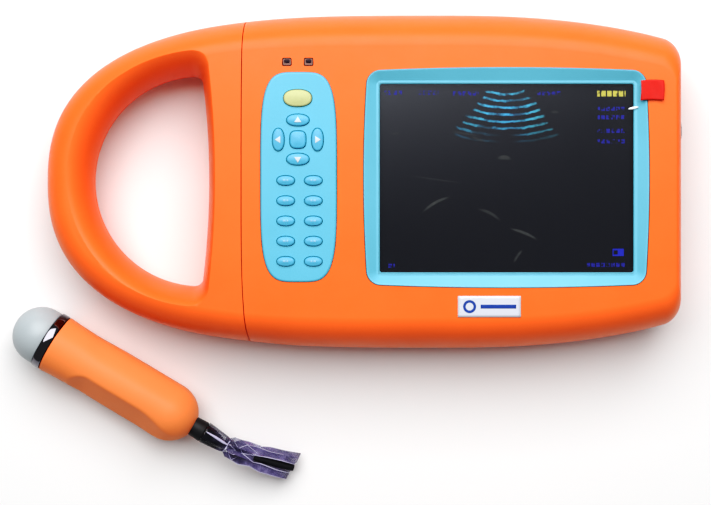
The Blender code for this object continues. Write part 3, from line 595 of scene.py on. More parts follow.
def grip_taper(bm):
    """Thins the casing towards its left end, about the grip's middle height."""
    for vert in bm.verts:
        u = min(1.0, max(0.0, (SEAM_X - vert.co.x) / (SEAM_X - LEFT_END)))
        weight = GRIP_TAPER * u * u * (3 - 2 * u)
        vert.co.z += (GRIP_MID_Z - vert.co.z) * weight


def face_drop(y):
    """How far the face lies below its highest level at y: a very shallow crown."""
    return FACE_CROWN * min(1.0, abs(y) / HALF_HEIGHT) ** 4


def face_level(y):
    """The height of the face at y."""
    return THICKNESS - face_drop(y)


def fill_in_strips(bm, ring):
    """Closes an outline of the casing with strips that run across it, narrowing to its left end."""
    half = len(ring) // 2
    rows = []
    for a, b in zip(ring[:half], ring[:half:-1]):
        rows.append([a, *[bm.verts.new(a.co.lerp(b.co, k / CAP_STRIPS)) for k in range(1, CAP_STRIPS)], b])
    rows.append([ring[half]] * (CAP_STRIPS + 1))
    for near, far in zip(rows, rows[1:]):
        bridge(bm, near, far, around=False)


def casing_half(front):
    """One half of the whole casing as a closed solid, its broad cap in strips so that it can be crowned."""
    widest = edge_outline(LEFT_END, RIGHT_END, HALF_HEIGHT, LEFT_POWERS)
    left, right = LEFT_END + FACE_LEFT_INSET, RIGHT_END - FACE_RIGHT_INSET
    face = edge_outline(left, right, HALF_HEIGHT - FACE_SIDE_INSET, FACE_POWERS)
    start, end, way, steps = (FRONT_BOTTOM, THICKNESS, 1, 22) if front else (REAR_TOP, REAR_LOW.z, -1, 16)
    rings = [at_height(blend_outlines(widest, face, PARTING_LIP / FACE_SIDE_INSET), start)]
    for share, rise in quarter(steps):
        z = start + way * PARTING_LIP + (end - start - way * PARTING_LIP) * rise
        rings.append(at_height(blend_outlines(widest, face, share), z))
    bm = loft(rings, cap_high=False)
    fill_in_strips(bm, bm.verts[:][-len(widest):])
    for vert in bm.verts:
        if front:
            vert.co.z -= face_drop(vert.co.y) * max(0.0, (vert.co.z - start) / (end - start))
        near = max(0.0, (vert.co.x - END_BOW_FROM) / (RIGHT_END - END_BOW_FROM))
        vert.co.x -= END_BOW * near * (abs(vert.co.y) / HALF_HEIGHT) ** 4
    grip_taper(bm)
    return bm


def bow_seam(bm):
    """Lets the seam lean to the right near the two long edges, most of all at the lower one."""
    for vert in bm.verts:
        near = max(0.0, 1 - abs(vert.co.x - SEAM_X) / SEAM_REACH)
        side = min(1.0, abs(vert.co.y) / HALF_HEIGHT) ** 4
        lean = SEAM_LEAN_LOW if vert.co.y < 0 else SEAM_LEAN_HIGH
        vert.co.x += lean * side * near * near * (3 - 2 * near)


def clip_with_edge(bm, x, keep_left):
    """Cuts at x, closes the cut and rounds its rim."""
    normal = (1, 0, 0) if keep_left else (-1, 0, 0)
    everything = bm.verts[:] + bm.edges[:] + bm.faces[:]
    bmesh.ops.bisect_plane(bm, geom=everything, plane_co=(x, 0, 0), plane_no=normal, clear_outer=True)
    made = bmesh.ops.holes_fill(bm, edges=[edge for edge in bm.edges if edge.is_boundary])["faces"]
    edges = {edge for f in made for edge in f.edges}
    how = {"offset": SEAM_ROUNDING, "segments": 2, "profile": 0.6, "affect": "EDGES", "clamp_overlap": True}
    bmesh.ops.bevel(bm, geom=list(edges), **how)
    bow_seam(bm)
    return bm


def opening_cutter(front):
    waist = hole_outline(HOLE_RADIUS, HOLE_FLAT_X, HOLE_CORNER)
    mouth = hole_outline(HOLE_RADIUS + HOLE_SLOPE, HOLE_FLAT_X + HOLE_FLAT_SLOPE, HOLE_MOUTH_CORNER)
    start, end, past, way, power = REAR_TOP, -0.0003, -0.02, -1, 2.0
    if front:
        mouth = [(x, y + HOLE_MOUTH_LIFT) for x, y in mouth]
        start, end, past, way, power = FRONT_BOTTOM, THICKNESS + 0.0003, THICKNESS + 0.02, 1, 1.75
    neck = blend_outlines(waist, mouth, 0.04)
    rings = [at_height(neck, start - way * 0.004), at_height(neck, start)]
    for share, rise in quarter(20, power):
        z = start + way * PARTING_LIP + (end - start - way * PARTING_LIP) * rise
        rings.append(at_height(blend_outlines(waist, mouth, share), z))
    rings.append(at_height(mouth, past))
    bm = loft(rings)
    grip_taper(bm)
    return new_object("opening_cutter", bm)


def rounded_hole(ring, low, surface, gap, soft):
    """A cutter for an opening in a surface, with a rounded rim."""
    rings = [ring(gap, low), ring(gap, surface - soft)] + rim(ring, surface, -soft, 4, soft, gap)
    rings += [ring(gap + soft * 1.6, surface + soft * 0.35), ring(gap + soft * 1.6, surface + 0.004)]
    return new_object("hole_cutter", loft(rings))


BEZEL_LOW, BEZEL_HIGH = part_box("screen_bezel")
PANEL_LOW, PANEL_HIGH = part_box("keypad_panel")
DOOR_LOW, DOOR_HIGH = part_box("battery_door")
SCREEN_X, SCREEN_Y = middle("screen_bezel")
KEYPAD_X, KEYPAD_Y = middle("keypad_panel")
# how far the panels' flanges reach under the cover, and how far the door's pins stand out
FLANGE_REACH, DOOR_PIN = 0.0022, 0.0020
BEZEL_HALF_X = (BEZEL_HIGH.x - BEZEL_LOW.x) / 2 - FLANGE_REACH
BEZEL_HALF_Y = (BEZEL_HIGH.y - BEZEL_LOW.y) / 2 - FLANGE_REACH
KEYPAD_HALF_X = (PANEL_HIGH.x - PANEL_LOW.x) / 2 - FLANGE_REACH
KEYPAD_HALF_Y = (PANEL_HIGH.y - PANEL_LOW.y) / 2 - FLANGE_REACH
DOOR_HALF_Y = DOOR_HIGH.y - DOOR_PIN
WINDOW_OPENING = (0.0587, 0.0436)


def bezel_outline(change):
    half_x, half_y = BEZEL_HALF_X + 0.0002 + change, BEZEL_HALF_Y + 0.0004 + change
    return soft_rectangle(half_x, half_y, 0.0058 + change, 0.0019, 0.0016, (SCREEN_X, SCREEN_Y + 0.0003))


def bezel_ring(change, z):
    return at_height(bezel_outline(change), z)


def keypad_ring(change, z):
    half_x, half_y = KEYPAD_HALF_X + 0.0006 + change, KEYPAD_HALF_Y + 0.0006 + change
    return at_height(superellipse(half_x, half_y, 4.2, 160, (KEYPAD_X + 0.0003, KEYPAD_Y + 0.0003)), z)


def lamp_ring(name):
    """The rings of a lamp's square lens."""
    return pill(*LAMP_HALF, 7.0, 40, middle(name))


def make_cover(name, node, front, is_handle, cutters):
    """One of the casing's four shells: half of the whole casing, cut at the seam, with its openings."""
    seam = GRIP_RIGHT if is_handle else BODY_LEFT
    shell = clip_with_edge(casing_half(front), seam, is_handle)
    piece(name, shell, "orange_abs", "casing", [node], cutters=cutters, weighted=True)


def screw_seat(name):
    """A cutter for a screw's seat in the back."""
    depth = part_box(name)[0].z + 0.0022
    return new_object("seat", turned([(0, -0.01), (0.0033, -0.01), (0.0033, depth), (0, depth)], 40, upright(name)))


def end_cutters():
    """The socket's hole, the pocket of the port flap and the jack's hole, in the right-hand end."""

    def round_hole(name, radius, segments):
        return turned([(0, 0.094), (radius, 0.094), (radius, 0.115), (0, 0.115)], segments, end_place(name))

    low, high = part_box("port_flap")
    gap = 0.0003
    pocket = box((high.x - 0.0018, low.y - gap, low.z - gap), (high.x + 0.01, high.y + gap, high.z + gap), 0.0002, 1)
    shapes = [round_hole("probe_socket", 0.0086, 64), pocket, round_hole("charging_jack", 0.0037, 40)]
    return [new_object("end_cut", shape) for shape in shapes]


def door_cutter():
    """The battery bay's mouth in the back, deep enough to show the pack behind the open door."""
    low = (DOOR_LOW.x - 0.0007, -DOOR_HALF_Y - 0.0004, -0.01)
    return new_object("bay_cut", box(low, (DOOR_HIGH.x + 0.0004, DOOR_HALF_Y + 0.0004, 0.0192), 0.0004, 2))


def make_casing():
    """The four shells, with every opening in them."""
    make_cover("handle_front", "handle_front_half", True, True, [opening_cutter(True)])
    seats = [screw_seat(name) for name in HANDLE_SCREWS]
    make_cover("handle_rear", "handle_rear_half", False, True, [opening_cutter(False)] + seats)

    # each hole's rings, the level where it starts inside, the face there, its gap and the rounding of its rim
    holes = [
        rounded_hole(bezel_ring, 0.036, face_level(0.05), 0.00003, 0.00015),
        rounded_hole(keypad_ring, 0.036, face_level(0.03), 0.00003, 0.00015),
    ]
    for name in LAMPS:
        holes.append(rounded_hole(lamp_ring(name), 0.040, face_level(0.055), 0.00006, 0.00018))
    make_cover("cover_front", "front_cover", True, False, holes + end_cutters())

    seats = [screw_seat(name) for name in COVER_SCREWS]
    make_cover("cover_rear", "rear_cover", False, False, end_cutters() + [door_cutter()] + seats)


make_casing()

# ---------------------------------------------------------------- screen

WINDOW_LOW, WINDOW_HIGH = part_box("display_window")
FILM_LOW, FILM_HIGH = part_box("screen_film")
TAB_LOW, TAB_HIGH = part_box("film_pull_tab")
LCD_LOW, LCD_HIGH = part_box("lcd_panel")

# streaks of the picture, in millimetres: centre, half length, half width, angle, bend and strength
STREAKS = [
    (-14.3, -9.7, 8.2, 0.9, 29.0, 0.020, 1.0),
    (11.0, -14.6, 7.0, 1.0, -27.0, 0.030, 0.6),
    (27.0, -23.9, 8.0, 0.9, -22.0, 0.012, 0.9),
    (23.8, -34.6, 4.2, 0.8, 56.0, 0.020, 0.7),
    (17.6, 11.3, 3.8, 1.3, -3.0, 0.060, 0.8),
    (41.2, 32.4, 2.4, 0.9, 0.0, 0.060, 0.45),
    (-33.1, 22.3, 2.4, 0.8, 4.0, 0.0, 0.40),
    (-14.0, 1.0, 15.0, 0.5, -8.0, 0.0, 0.30),
    (5.6, 19.6, 4.2, 0.6, -20.0, -0.03, 0.55),
    (-1.0, 22.4, 8.0, 0.6, -10.0, 0.0, 0.45),
]
# bars of the picture that stand for its readings: centre and half length
BARS = [
    (-33.7, 41.3, 4.4), (-17.6, 41.3, 4.6), (-0.2, 41.0, 6.0), (38.4, 41.1, 5.4),
    (67.3, 33.8, 6.2), (67.3, 29.9, 6.2), (67.3, 23.6, 6.4), (67.3, 18.7, 6.4),
    (65.0, -38.7, 9.0), (-35.0, -39.1, 1.8),
]


def make_bezel():
    """A frame whose rim is flush with the face; it slopes down to a narrow ledge round the window."""
    half_x, half_y = WINDOW_OPENING
    centre = (SCREEN_X + 0.0004, SCREEN_Y)
    top, ledge, seat, foot = BEZEL_HIGH.z - 0.0006, 0.0417, 0.0402, 0.0392

    def inner(change, z):
        return at_height(soft_rectangle(half_x + change, half_y + change, 0.0011 + change, 0.0, 0.0, centre), z)

    rings = [bezel_ring(0.0, foot), bezel_ring(0.0, top - 0.0003)] + rim(bezel_ring, top, 0.0003, 4)
    crest = bezel_outline(-0.0006)
    slope_end = soft_rectangle(half_x + 0.0016, half_y + 0.0016, 0.0024, 0.0, 0.0, centre)
    for share in (0.0, 0.1, 0.25, 0.5, 0.75, 0.94, 1.0):
        z = top - 0.00008 - (top - ledge - 0.0001) * share
        rings.append(at_height(blend_outlines(crest, slope_end, share), z))
    rings += [inner(0.0014, ledge), inner(0.0004, ledge - 0.00003), inner(0.0, ledge - 0.0003), inner(0.0, seat)]
    rings += [bezel_ring(-0.0040, seat), bezel_ring(-0.0040, foot)]
    piece("bezel", loft(rings, closed=True), "cyan_abs", "casing", ["screen_bezel"], smooth=24, weighted=True)


def echo_fan(n, x, y):
    """The strength of the echoes: arcs at even depths in a fan, fading with depth and broken up by noise."""
    dx, dy = n.sub(x, 18.6), n.sub(53.0, y)
    radius = n.math("SQRT", n.add(n.mul(dx, dx), n.mul(dy, dy)))
    radius = n.add(radius, n.mul(n.sub(n.noise(230.0, 3.0, 0.6), 0.5), 1.9))
    angle = n.math("ARCTAN2", dx, dy)
    aside = n.math("ABSOLUTE", angle)
    radius = n.math("DIVIDE", radius, n.add(1.0, n.mul(angle, angle, 0.30)))
    steps = n.math("DIVIDE", n.sub(radius, 12.35), 3.2)
    near = n.math("ABSOLUTE", n.sub(n.math("FRACT", n.add(steps, 0.5)), 0.5))
    pulse = n.between(near, 0.05, 0.23, 1.0, 0.0, True)
    ragged = n.add(aside, n.mul(n.sub(n.noise(330.0, 1.0), 0.5), 0.22))
    inside = n.between(ragged, 0.62, 0.70, 1.0, 0.0, True)
    first = n.between(steps, -0.45, -0.25)
    depth = n.between(steps, 2.6, 8.0, 1.0, 0.0, True)
    shadow = n.mul(n.between(aside, 0.05, 0.30, 1.0, 0.0, True), n.between(steps, 5.1, 5.8, 0.0, 1.0, True))
    patch = n.between(n.noise(150.0, 3.0, 0.7), 0.40, 0.58, 0.16, 1.0)
    return n.mul(pulse, inside, first, depth, patch, n.sub(1.0, shadow))


def streak(n, x, y, cx, cy, half_long, half_wide, degrees, bend, strength):
    """A faint bent streak of the picture."""
    c, s = math.cos(math.radians(degrees)), math.sin(math.radians(degrees))
    px, py = n.sub(x, cx), n.sub(y, cy)
    u = n.add(n.mul(px, c), n.mul(py, s))
    v = n.add(n.sub(n.mul(py, c), n.mul(px, s)), n.mul(u, u, bend))
    u, v = n.math("DIVIDE", u, half_long), n.math("DIVIDE", v, half_wide)
    return n.mul(n.between(n.add(n.mul(u, u), n.mul(v, v)), 0.15, 1.0, 1.0, 0.0, True), strength)


def block(n, x, y, cx, cy, half_x, half_y):
    """A plain rectangle of the picture."""
    across = n.math("LESS_THAN", n.math("ABSOLUTE", n.sub(x, cx)), half_x)
    upward = n.math("LESS_THAN", n.math("ABSOLUTE", n.sub(y, cy)), half_y)
    return n.mul(across, upward)


def make_lcd():
    """The picture: a fan of echoes, faint streaks, plain blocks where the readings are, and a painted reflection that
    lightens its top left.
    """
    n = Nodes("lcd_picture")
    split = n.new("ShaderNodeSeparateXYZ")
    n.link(n.position, split.inputs[0])
    x, y = n.mul(split.outputs[0], 1000.0), n.mul(split.outputs[1], 1000.0)

    def dashes(pitch, gap):
        return n.math("GREATER_THAN", n.math("FRACT", n.math("DIVIDE", x, pitch)), gap)

    # painted reflection: the screen's dark is emitted lighter towards the top left, in place of the light reflected in
    # the film
    painted_reflection = n.mul(n.between(x, -45.0, 60.0, 1.0, 0.25), n.math("POWER", n.between(y, -42.0, 45.0), 2.2))
    picture = n.mix(painted_reflection, (0.026, 0.027, 0.033), (0.085, 0.088, 0.098))
    hue = n.mix(n.between(n.noise(20.0, 2.0), 0.35, 0.65), (0.13, 0.60, 0.72), (0.10, 0.44, 0.80))
    picture = n.mix(echo_fan(n, x, y), picture, hue)
    streaks = n.math("MAXIMUM", *[streak(n, x, y, *form) for form in STREAKS])
    grit = n.between(n.noise(500.0, 2.0), 0.3, 0.7, 0.6, 1.0)
    picture = n.mix(n.mul(streaks, grit), picture, (0.088, 0.092, 0.090))
    bars = n.math("MAXIMUM", *[block(n, x, y, cx, cy, half, 0.95) for cx, cy, half in BARS])
    ragged = n.between(n.noise(620.0, 1.0), 0.40, 0.56)
    picture = n.mix(n.mul(bars, dashes(2.3, 0.26), ragged, 0.9), picture, (0.050, 0.050, 0.36))
    battery = n.sub(block(n, x, y, 70.6, -32.9, 2.6, 1.7), block(n, x, y, 69.4, -32.9, 1.0, 1.0))
    picture = n.mix(battery, picture, (0.045, 0.055, 0.48))
    ragged = n.between(n.noise(520.0, 1.0), 0.30, 0.46, 0.25, 1.0)
    title = n.mul(block(n, x, y, 67.4, 40.9, 6.6, 1.3), dashes(2.7, 0.24), ragged)
    picture = n.mix(title, picture, (0.62, 0.57, 0.13))

    n.set(base_color=n.mix(0.75, picture, (0.004, 0.004, 0.005)), emission_color=picture, emission_strength=1.15)
    n.set(roughness=0.35, specular_ior_level=0.04)
    ring = pill(LCD_HIGH.x - SCREEN_X, LCD_HIGH.y - SCREEN_Y, 40.0, 96, (SCREEN_X, SCREEN_Y))
    rings = [ring(0.0, LCD_LOW.z), ring(0.0, LCD_HIGH.z - 0.0002), ring(-0.0002, LCD_HIGH.z)]
    piece("lcd", loft(rings), "lcd_picture", "casing", ["lcd_panel"])


def make_window_and_film():
    half_x, half_y = (WINDOW_HIGH.x - WINDOW_LOW.x) / 2, (WINDOW_HIGH.y - WINDOW_LOW.y) / 2
    ring = pill(half_x, half_y, 16.0, 128, (SCREEN_X, SCREEN_Y))
    low, high = WINDOW_LOW.z, WINDOW_HIGH.z
    pane = loft([ring(-0.0002, low), ring(0, low + 0.0002), ring(0, high - 0.0002), ring(-0.0002, high)])
    piece("window_pane", pane, "clear_acrylic", "casing", ["display_window"], weighted=True)

    def film_point(u, v):
        x = FILM_LOW.x + (FILM_HIGH.x - FILM_LOW.x) * u
        y = FILM_LOW.y + (FILM_HIGH.y - FILM_LOW.y) * v
        lift = 0.0007 * max(0.0, (u - 0.93) / 0.07) ** 2 * max(0.0, (v - 0.55) / 0.45) ** 1.5
        ripple = 0.00005 * math.sin(9 * u + 4 * v) * math.sin(7 * v)
        return (x, y, FILM_LOW.z + 0.0001 + lift + ripple)

    # the protective film is a thin sheet with a faint lift along its right-hand edge
    film = surface(60, 46, film_point)
    piece("protective_film", film, "clear_film", "casing", ["screen_film"], thickness=0.0001)

    # a short fold of the film beside the tab, coloured near-white as a painted glint
    centre = (TAB_LOW.x - 0.0026, TAB_LOW.y - 0.0033)
    rings = []
    for share, rise in quarter(5):
        outline = superellipse(0.0024 * (1 - 0.8 * share), 0.0006 * (1 - 0.8 * share), 2.0, 32, centre)
        z = FILM_HIGH.z + 0.0002 + 0.0003 * rise
        rings.append([(x, y + 0.18 * (x - centre[0]), z) for x, y in outline])
    piece("film_fold", loft(rings), "film_fold", "casing", ())


def make_pull_tab():
    """A small red tab, stuck to the film's corner and curling a little at its free edge."""

    def tab_point(u, v):
        x = TAB_LOW.x + (TAB_HIGH.x - TAB_LOW.x) * (u + 0.035 * math.sin(2.4 * v))
        y = TAB_LOW.y + (TAB_HIGH.y - TAB_LOW.y) * v + 0.0004 * math.sin(3 * u)
        curl = 0.0012 * max(0.0, u - 0.35) ** 2 * (1.2 - v) + 0.00022 * math.sin(6 * u + 3 * v)
        return (x, y, TAB_LOW.z + 0.0001 + curl)

    piece("pull_tab", surface(18, 14, tab_point), "red_film", "casing", ["film_pull_tab"], thickness=0.00018)


make_bezel()
make_lcd()
make_window_and_film()
make_pull_tab()

# ---------------------------------------------------------------- keypad

KEYS = ["key_power", "key_up", "key_down", "key_left", "key_right", "key_centre"]
KEYS += [f"key_function_{i:02d}" for i in range(1, 11)]
KEY_REACH = 0.0006


def key_form(name, count=64):
    """A key's centre, the ring function of its cap's outline, and its lowest and highest level."""
    low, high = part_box(name)
    power = {"key_power": 2.3, "key_centre": 3.2}.get(name, 2.2)
    centre = middle(name)
    shrink = KEY_REACH + 0.0003
    ring = pill((high.x - low.x) / 2 - shrink, (high.y - low.y) / 2 - shrink, power, count, centre)
    return centre, ring, low.z, high.z


def make_keypad():
    top, edge = PANEL_HIGH.z, 0.0010
    rings = [keypad_ring(0.0, 0.0396), keypad_ring(0.0, top - edge)] + rim(keypad_ring, top, edge, 6)
    holes = [rounded_hole(key_form(name, 56)[1], 0.0402, top, 0.00019, 0.00022) for name in KEYS]
    panel = loft(rings)
    piece("key_panel", panel, "cyan_panel", "casing", ["keypad_panel"], cutters=holes, weighted=True)


def make_keys():
    """Each cap stands on a flange and has a rounded edge and a slightly domed top."""
    count = 64
    for name in KEYS:
        centre, ring, low, high = key_form(name, count)
        rings = [ring(KEY_REACH, low), ring(KEY_REACH, low + 0.0008), ring(0.0, low + 0.0008), ring(0.0, high - 0.0011)]
        bm = loft(rings + rim(ring, high - 0.0003, 0.0009, 7, 0.0008), cap_high=False)
        edge = bm.verts[:][-count:]
        start = edge[0].co.z
        domed_cap(bm, edge, [(1 - 0.2 * k, start + 0.0003 * (1 - (1 - 0.2 * k) ** 2)) for k in range(1, 5)], centre)
        piece(name + "_cap", bm, "yellow_rubber" if name == "key_power" else "cyan_rubber", name, [name], smooth=60)


def make_key_marks():
    """White triangles on the four arrow keys."""
    corners = [(0.00155, 0.0), (-0.0010, 0.00165), (-0.0010, -0.00165)]
    for name, degrees in {"key_up": 90, "key_down": -90, "key_left": 180, "key_right": 0}.items():
        (cx, cy), _, _, high = key_form(name)
        c, s = math.cos(math.radians(degrees)), math.sin(math.radians(degrees))
        pointing = [(x * c - y * s, x * s + y * c) for x, y in corners]
        rings = []
        for scale, lift in ((1.0, -0.00025), (1.0, 0.00004), (0.86, 0.00008)):
            rings.append([(cx + scale * x, cy + scale * y, high + lift) for x, y in pointing])
        piece(name + "_arrow", loft(rings), "white_print", name, (), 30)


def make_function_marks():
    """Two short pale bars on each function key, of changing lengths, in place of its lettering."""
    for i in range(1, 11):
        name = f"key_function_{i:02d}"
        centre, _, _, high = key_form(name)
        shapes = []
        lengths = (0.0013, 0.0008) if i % 2 else (0.0009, 0.0012)
        start = centre[0] - (sum(lengths) + 0.0004) / 2
        for length in lengths:
            ring = pill(length / 2, 0.00042, 5.0, 24, (start + length / 2, centre[1] + 0.0002))
            shapes.append(loft([ring(0.0, high - 0.0004), ring(0.0, high + 0.00002), ring(-0.00006, high + 0.00005)]))
            start += length + 0.0004
        piece(name + "_mark", join(*shapes), "pale_print", name, (), 40)


make_keypad()
make_keys()
make_function_marks()
make_key_marks()

# ---------------------------------------------------------------- probe

# the probe's own frame has Z along its axis, towards the dome
RING_RADIUS, RING_LENGTH = 0.0143, 0.0039
GRIP_FRONT_Z = -RING_LENGTH - 0.0003
GRIP_LENGTH = 0.0785
GRIP_RADIUS = 0.0139
GRIP_TAIL = 0.0150
# the flats for the fingers: where they start and end along the grip, their depth in radii and their angle
FLAT_START, FLAT_END, FLAT_DEPTH, FLAT_ANGLE = 0.19, 0.98, 0.205, math.radians(52)
TAIL_Z = GRIP_FRONT_Z - GRIP_LENGTH
BOOT_END = -0.0990
CURVE_START, CURVE_LENGTH = BOOT_END - 0.001, 0.0340


def make_probe_head():
    radius, skirt, height = 0.0136, 0.0037, 0.0134
    turns = [math.radians(90 * i / 28) for i in range(29)]
    outer = [(radius * math.sin(turn), skirt + height * math.cos(turn)) for turn in turns]
    inner = [(0.93 * r, skirt + 0.90 * (z - skirt)) for r, z in reversed(outer)]
    profile = outer + [(radius, 0.0006), (radius - 0.0002, 0.0003), (0.93 * radius, 0.0003)] + inner
    piece("dome", turned(profile, 72, PROBE), "dome_plastic", "probe", ["probe_dome"], smooth=50)
    profile = [
        (0.0127, 0.0), (RING_RADIUS - 0.0005, 0.0), (RING_RADIUS - 0.00015, -0.00015), (RING_RADIUS, -0.0005),
        (RING_RADIUS, -RING_LENGTH + 0.0003), (RING_RADIUS - 0.0002, -RING_LENGTH), (0.0127, -RING_LENGTH),
    ]
    piece("chrome_ring", turned(profile, 96, PROBE, closed=True), "chrome", "probe", ["probe_ring"], smooth=40)


def thumb_flat(z):
    """The flat's distance from the axis as a share of the radius: it starts roundly and runs out at the tail."""
    along = (GRIP_FRONT_Z - z) / GRIP_LENGTH
    start = math.sin(math.pi / 2 * min(1.0, max(0.0, (along - FLAT_START) / 0.11)))
    end = min(1.0, max(0.0, (FLAT_END - along) / 0.34))
    return 1.0 - FLAT_DEPTH * start * end * end * (3 - 2 * end)


def grip_point(z, radius, angle):
    """A point of the grip's surface at that place along the axis and that angle about it."""
    reach, flat = radius, thumb_flat(z)
    # the thumb's flat on the lower side has crisp edges, the one on the other side is shallow and soft
    for side, depth, k in ((-1, 1.0, 0.00025), (1, 0.25, 0.0020)):
        facing = math.cos(angle - side * FLAT_ANGLE)
        if facing > 0:
            # a smooth minimum of the round and the flat
            plane = radius * (1 - (1 - flat) * depth) / facing
            h = max(k - abs(reach - plane), 0.0) / k
            reach = min(reach, plane) - h * h * k * 0.25
    return (reach * math.cos(angle), reach * math.sin(angle), z)


def make_probe_grip():
    """A round body with a faint waist behind its mouth, flats for the fingers and a domed tail."""
    count, stations, tail_steps = 96, 70, 14

    def ring(z, radius):
        return [grip_point(z, radius, 2 * math.pi * k / count) for k in range(count)]

    rings = []
    for i in range(stations):
        share = i / (stations - 1)
        z = GRIP_FRONT_Z - (GRIP_LENGTH - GRIP_TAIL) * share
        along = share * (GRIP_LENGTH - GRIP_TAIL) / GRIP_LENGTH
        mouth = 0.0003 * math.exp(-((along / 0.05) ** 2))
        waist = 0.0004 * math.exp(-(((along - 0.22) / 0.12) ** 2))
        radius = GRIP_RADIUS + mouth - waist
        if i == 0:
            rings.append(ring(z, 0.97 * radius))
            z -= 0.0003
        rings.append(ring(z, radius))
    for i in range(1, tail_steps + 1):
        turn = math.radians(72 * i / tail_steps)
        rings.append(ring(TAIL_Z + GRIP_TAIL - GRIP_TAIL * math.sin(turn), GRIP_RADIUS * math.cos(turn)))
    grip = moved(loft(rings), PROBE)
    piece("grip", grip, "orange_grip", "probe", ["probe_grip"], 50, weighted=True)


def make_boot():
    """A smooth rubber boot: a collar at the grip, a small step, then a taper down to the cable."""
    collar = TAIL_Z - 0.0051
    profile = [
        (0.0, TAIL_Z + 0.006), (0.0044, TAIL_Z + 0.006), (0.0047, TAIL_Z + 0.0015), (0.0048, TAIL_Z - 0.0010),
        (0.0050, collar + 0.0005), (0.00485, collar), (0.0045, collar - 0.0002), (0.0044, collar - 0.0008),
    ]
    for i in range(1, 9):
        share = i / 8
        profile.append((0.0044 - 0.0013 * share ** 1.3, collar - 0.0008 + (BOOT_END + 0.0012 - collar) * share))
    profile += [(0.0028, BOOT_END), (0.0, BOOT_END)]
    piece("boot", turned(profile, 56, PROBE), "black_rubber", "probe", ["strain_relief"], smooth=40)


def path_at(points, share):
    """A point at that share of a smooth line through the points."""
    at = share * (len(points) - 1)
    i = min(int(at), len(points) - 2)
    t = at - i
    a, b, c, d = [Vector(points[min(max(k, 0), len(points) - 1)]) for k in (i - 1, i, i + 1, i + 2)]
    return 0.5 * (2 * b + (c - a) * t + (2 * a - 5 * b + 4 * c - d) * t * t + (3 * b - a - 3 * c + d) * t ** 3)


def cable_point(share, z):
    """The free cable's centre line: it leaves the probe's axis along a soft curve."""
    return (-0.0092 * share ** 1.6, 0.0055 * share ** 1.4, z)


CABLE_PATH = [(0.0, 0.0, TAIL_Z + 0.016), (0.0, 0.0, BOOT_END + 0.006), (0.0, 0.0, CURVE_START)]
CABLE_PATH += [cable_point(step / 6, CURVE_START - CURVE_LENGTH * (step / 6)) for step in range(1, 7)]


def make_cable():
    """A round cable along its path, as far as the photograph shows it."""
    rings = []
    count, stations, radius = 28, 60, 0.0019
    for i in range(stations + 1):
        centre = path_at(CABLE_PATH, i / stations)
        before, after = max(0.0, (i - 0.5) / stations), min(1.0, (i + 0.5) / stations)
        ahead = (path_at(CABLE_PATH, after) - path_at(CABLE_PATH, before)).normalized()
        side = (Vector((1, 0, 0)) - ahead * ahead.x).normalized()
        rings.append(hoop(centre, ahead, side, radius, count))
    piece("cable", moved(loft(rings), PROBE), "black_rubber", "probe", ["probe_cable"], smooth=40)


def make_violet_film():
    n = Nodes("violet_film")
    blotch = n.noise(200.0, 4.0, 0.7)
    split = n.new("ShaderNodeSeparateXYZ")
    n.link(n.position, split.inputs[0])
    along = n.between(split.outputs[0], -0.124, -0.096, 0.0, 1.0, True)
    along = n.add(along, n.mul(n.sub(n.noise(110.0, 2.0), 0.5), 1.6))
    tinted = n.mix(n.between(blotch, 0.35, 0.68), (0.13, 0.11, 0.24), (0.30, 0.265, 0.48))
    n.set(base_color=n.mix(n.between(along, 0.0, 1.0), (0.020, 0.020, 0.028), tinted))
    n.set(alpha=n.between(blotch, 0.30, 0.75, 0.40, 0.72), roughness=0.10, coat_weight=0.8)
    n.bump(n.noise(420.0, 3.0, 0.7), 0.4, 0.0002)
    n.material.surface_render_method = "BLENDED"


# places along the probe's axis, with half height, half width, depth of the folds and share of crumpling
WRAP_SECTIONS = [
    (-0.0880, 0.0051, 0.0052, 0.00005, 0.0),
    (-0.0890, 0.0050, 0.0051, 0.00010, 0.0),
    (-0.0935, 0.0044, 0.0046, 0.00015, 0.1),
    (-0.0985, 0.0035, 0.0038, 0.00030, 0.3),
    (-0.1005, 0.0026, 0.0030, 0.00060, 0.4),
    (-0.1025, 0.0031, 0.0040, 0.00090, 1.0),
    (-0.1060, 0.0034, 0.0043, 0.00100, 1.2),
    (-0.1100, 0.0035, 0.0045, 0.00110, 1.4),
    (-0.1150, 0.0033, 0.0047, 0.00110, 1.2),
    (-0.1200, 0.0030, 0.0051, 0.00110, 0.7),
    (-0.1270, 0.0029, 0.0057, 0.00110, 0.4),
    (-0.1340, 0.0027, 0.0062, 0.00110, 0.5),
]
SLIT_FROM = 8
# painted highlights along one ridge's crease: its number, the first and last section, and the radius
LONG_CREASE_GLINTS = [
    (1, 1, 4, 0.00062), (1, 8, 11, 0.00022), (17, 8, 11, 0.00020), (15, 6, 11, 0.00014), (3, 7, 10, 0.00012),
]
# painted highlights on creases across the ridges, as (ridge, section) steps
BENT_CREASE_GLINTS = [
    ((2, 4), (1, 5), (2, 6), (1, 7)), ((0, 4), (1, 5), (0, 6)), ((17, 4), (16, 5), (17, 6), (0, 7), (1, 8)),
    ((3, 5), (2, 6), (3, 7), (2, 8)), ((16, 5), (15, 6), (16, 7)), ((1, 6), (0, 7), (17, 8)),
]


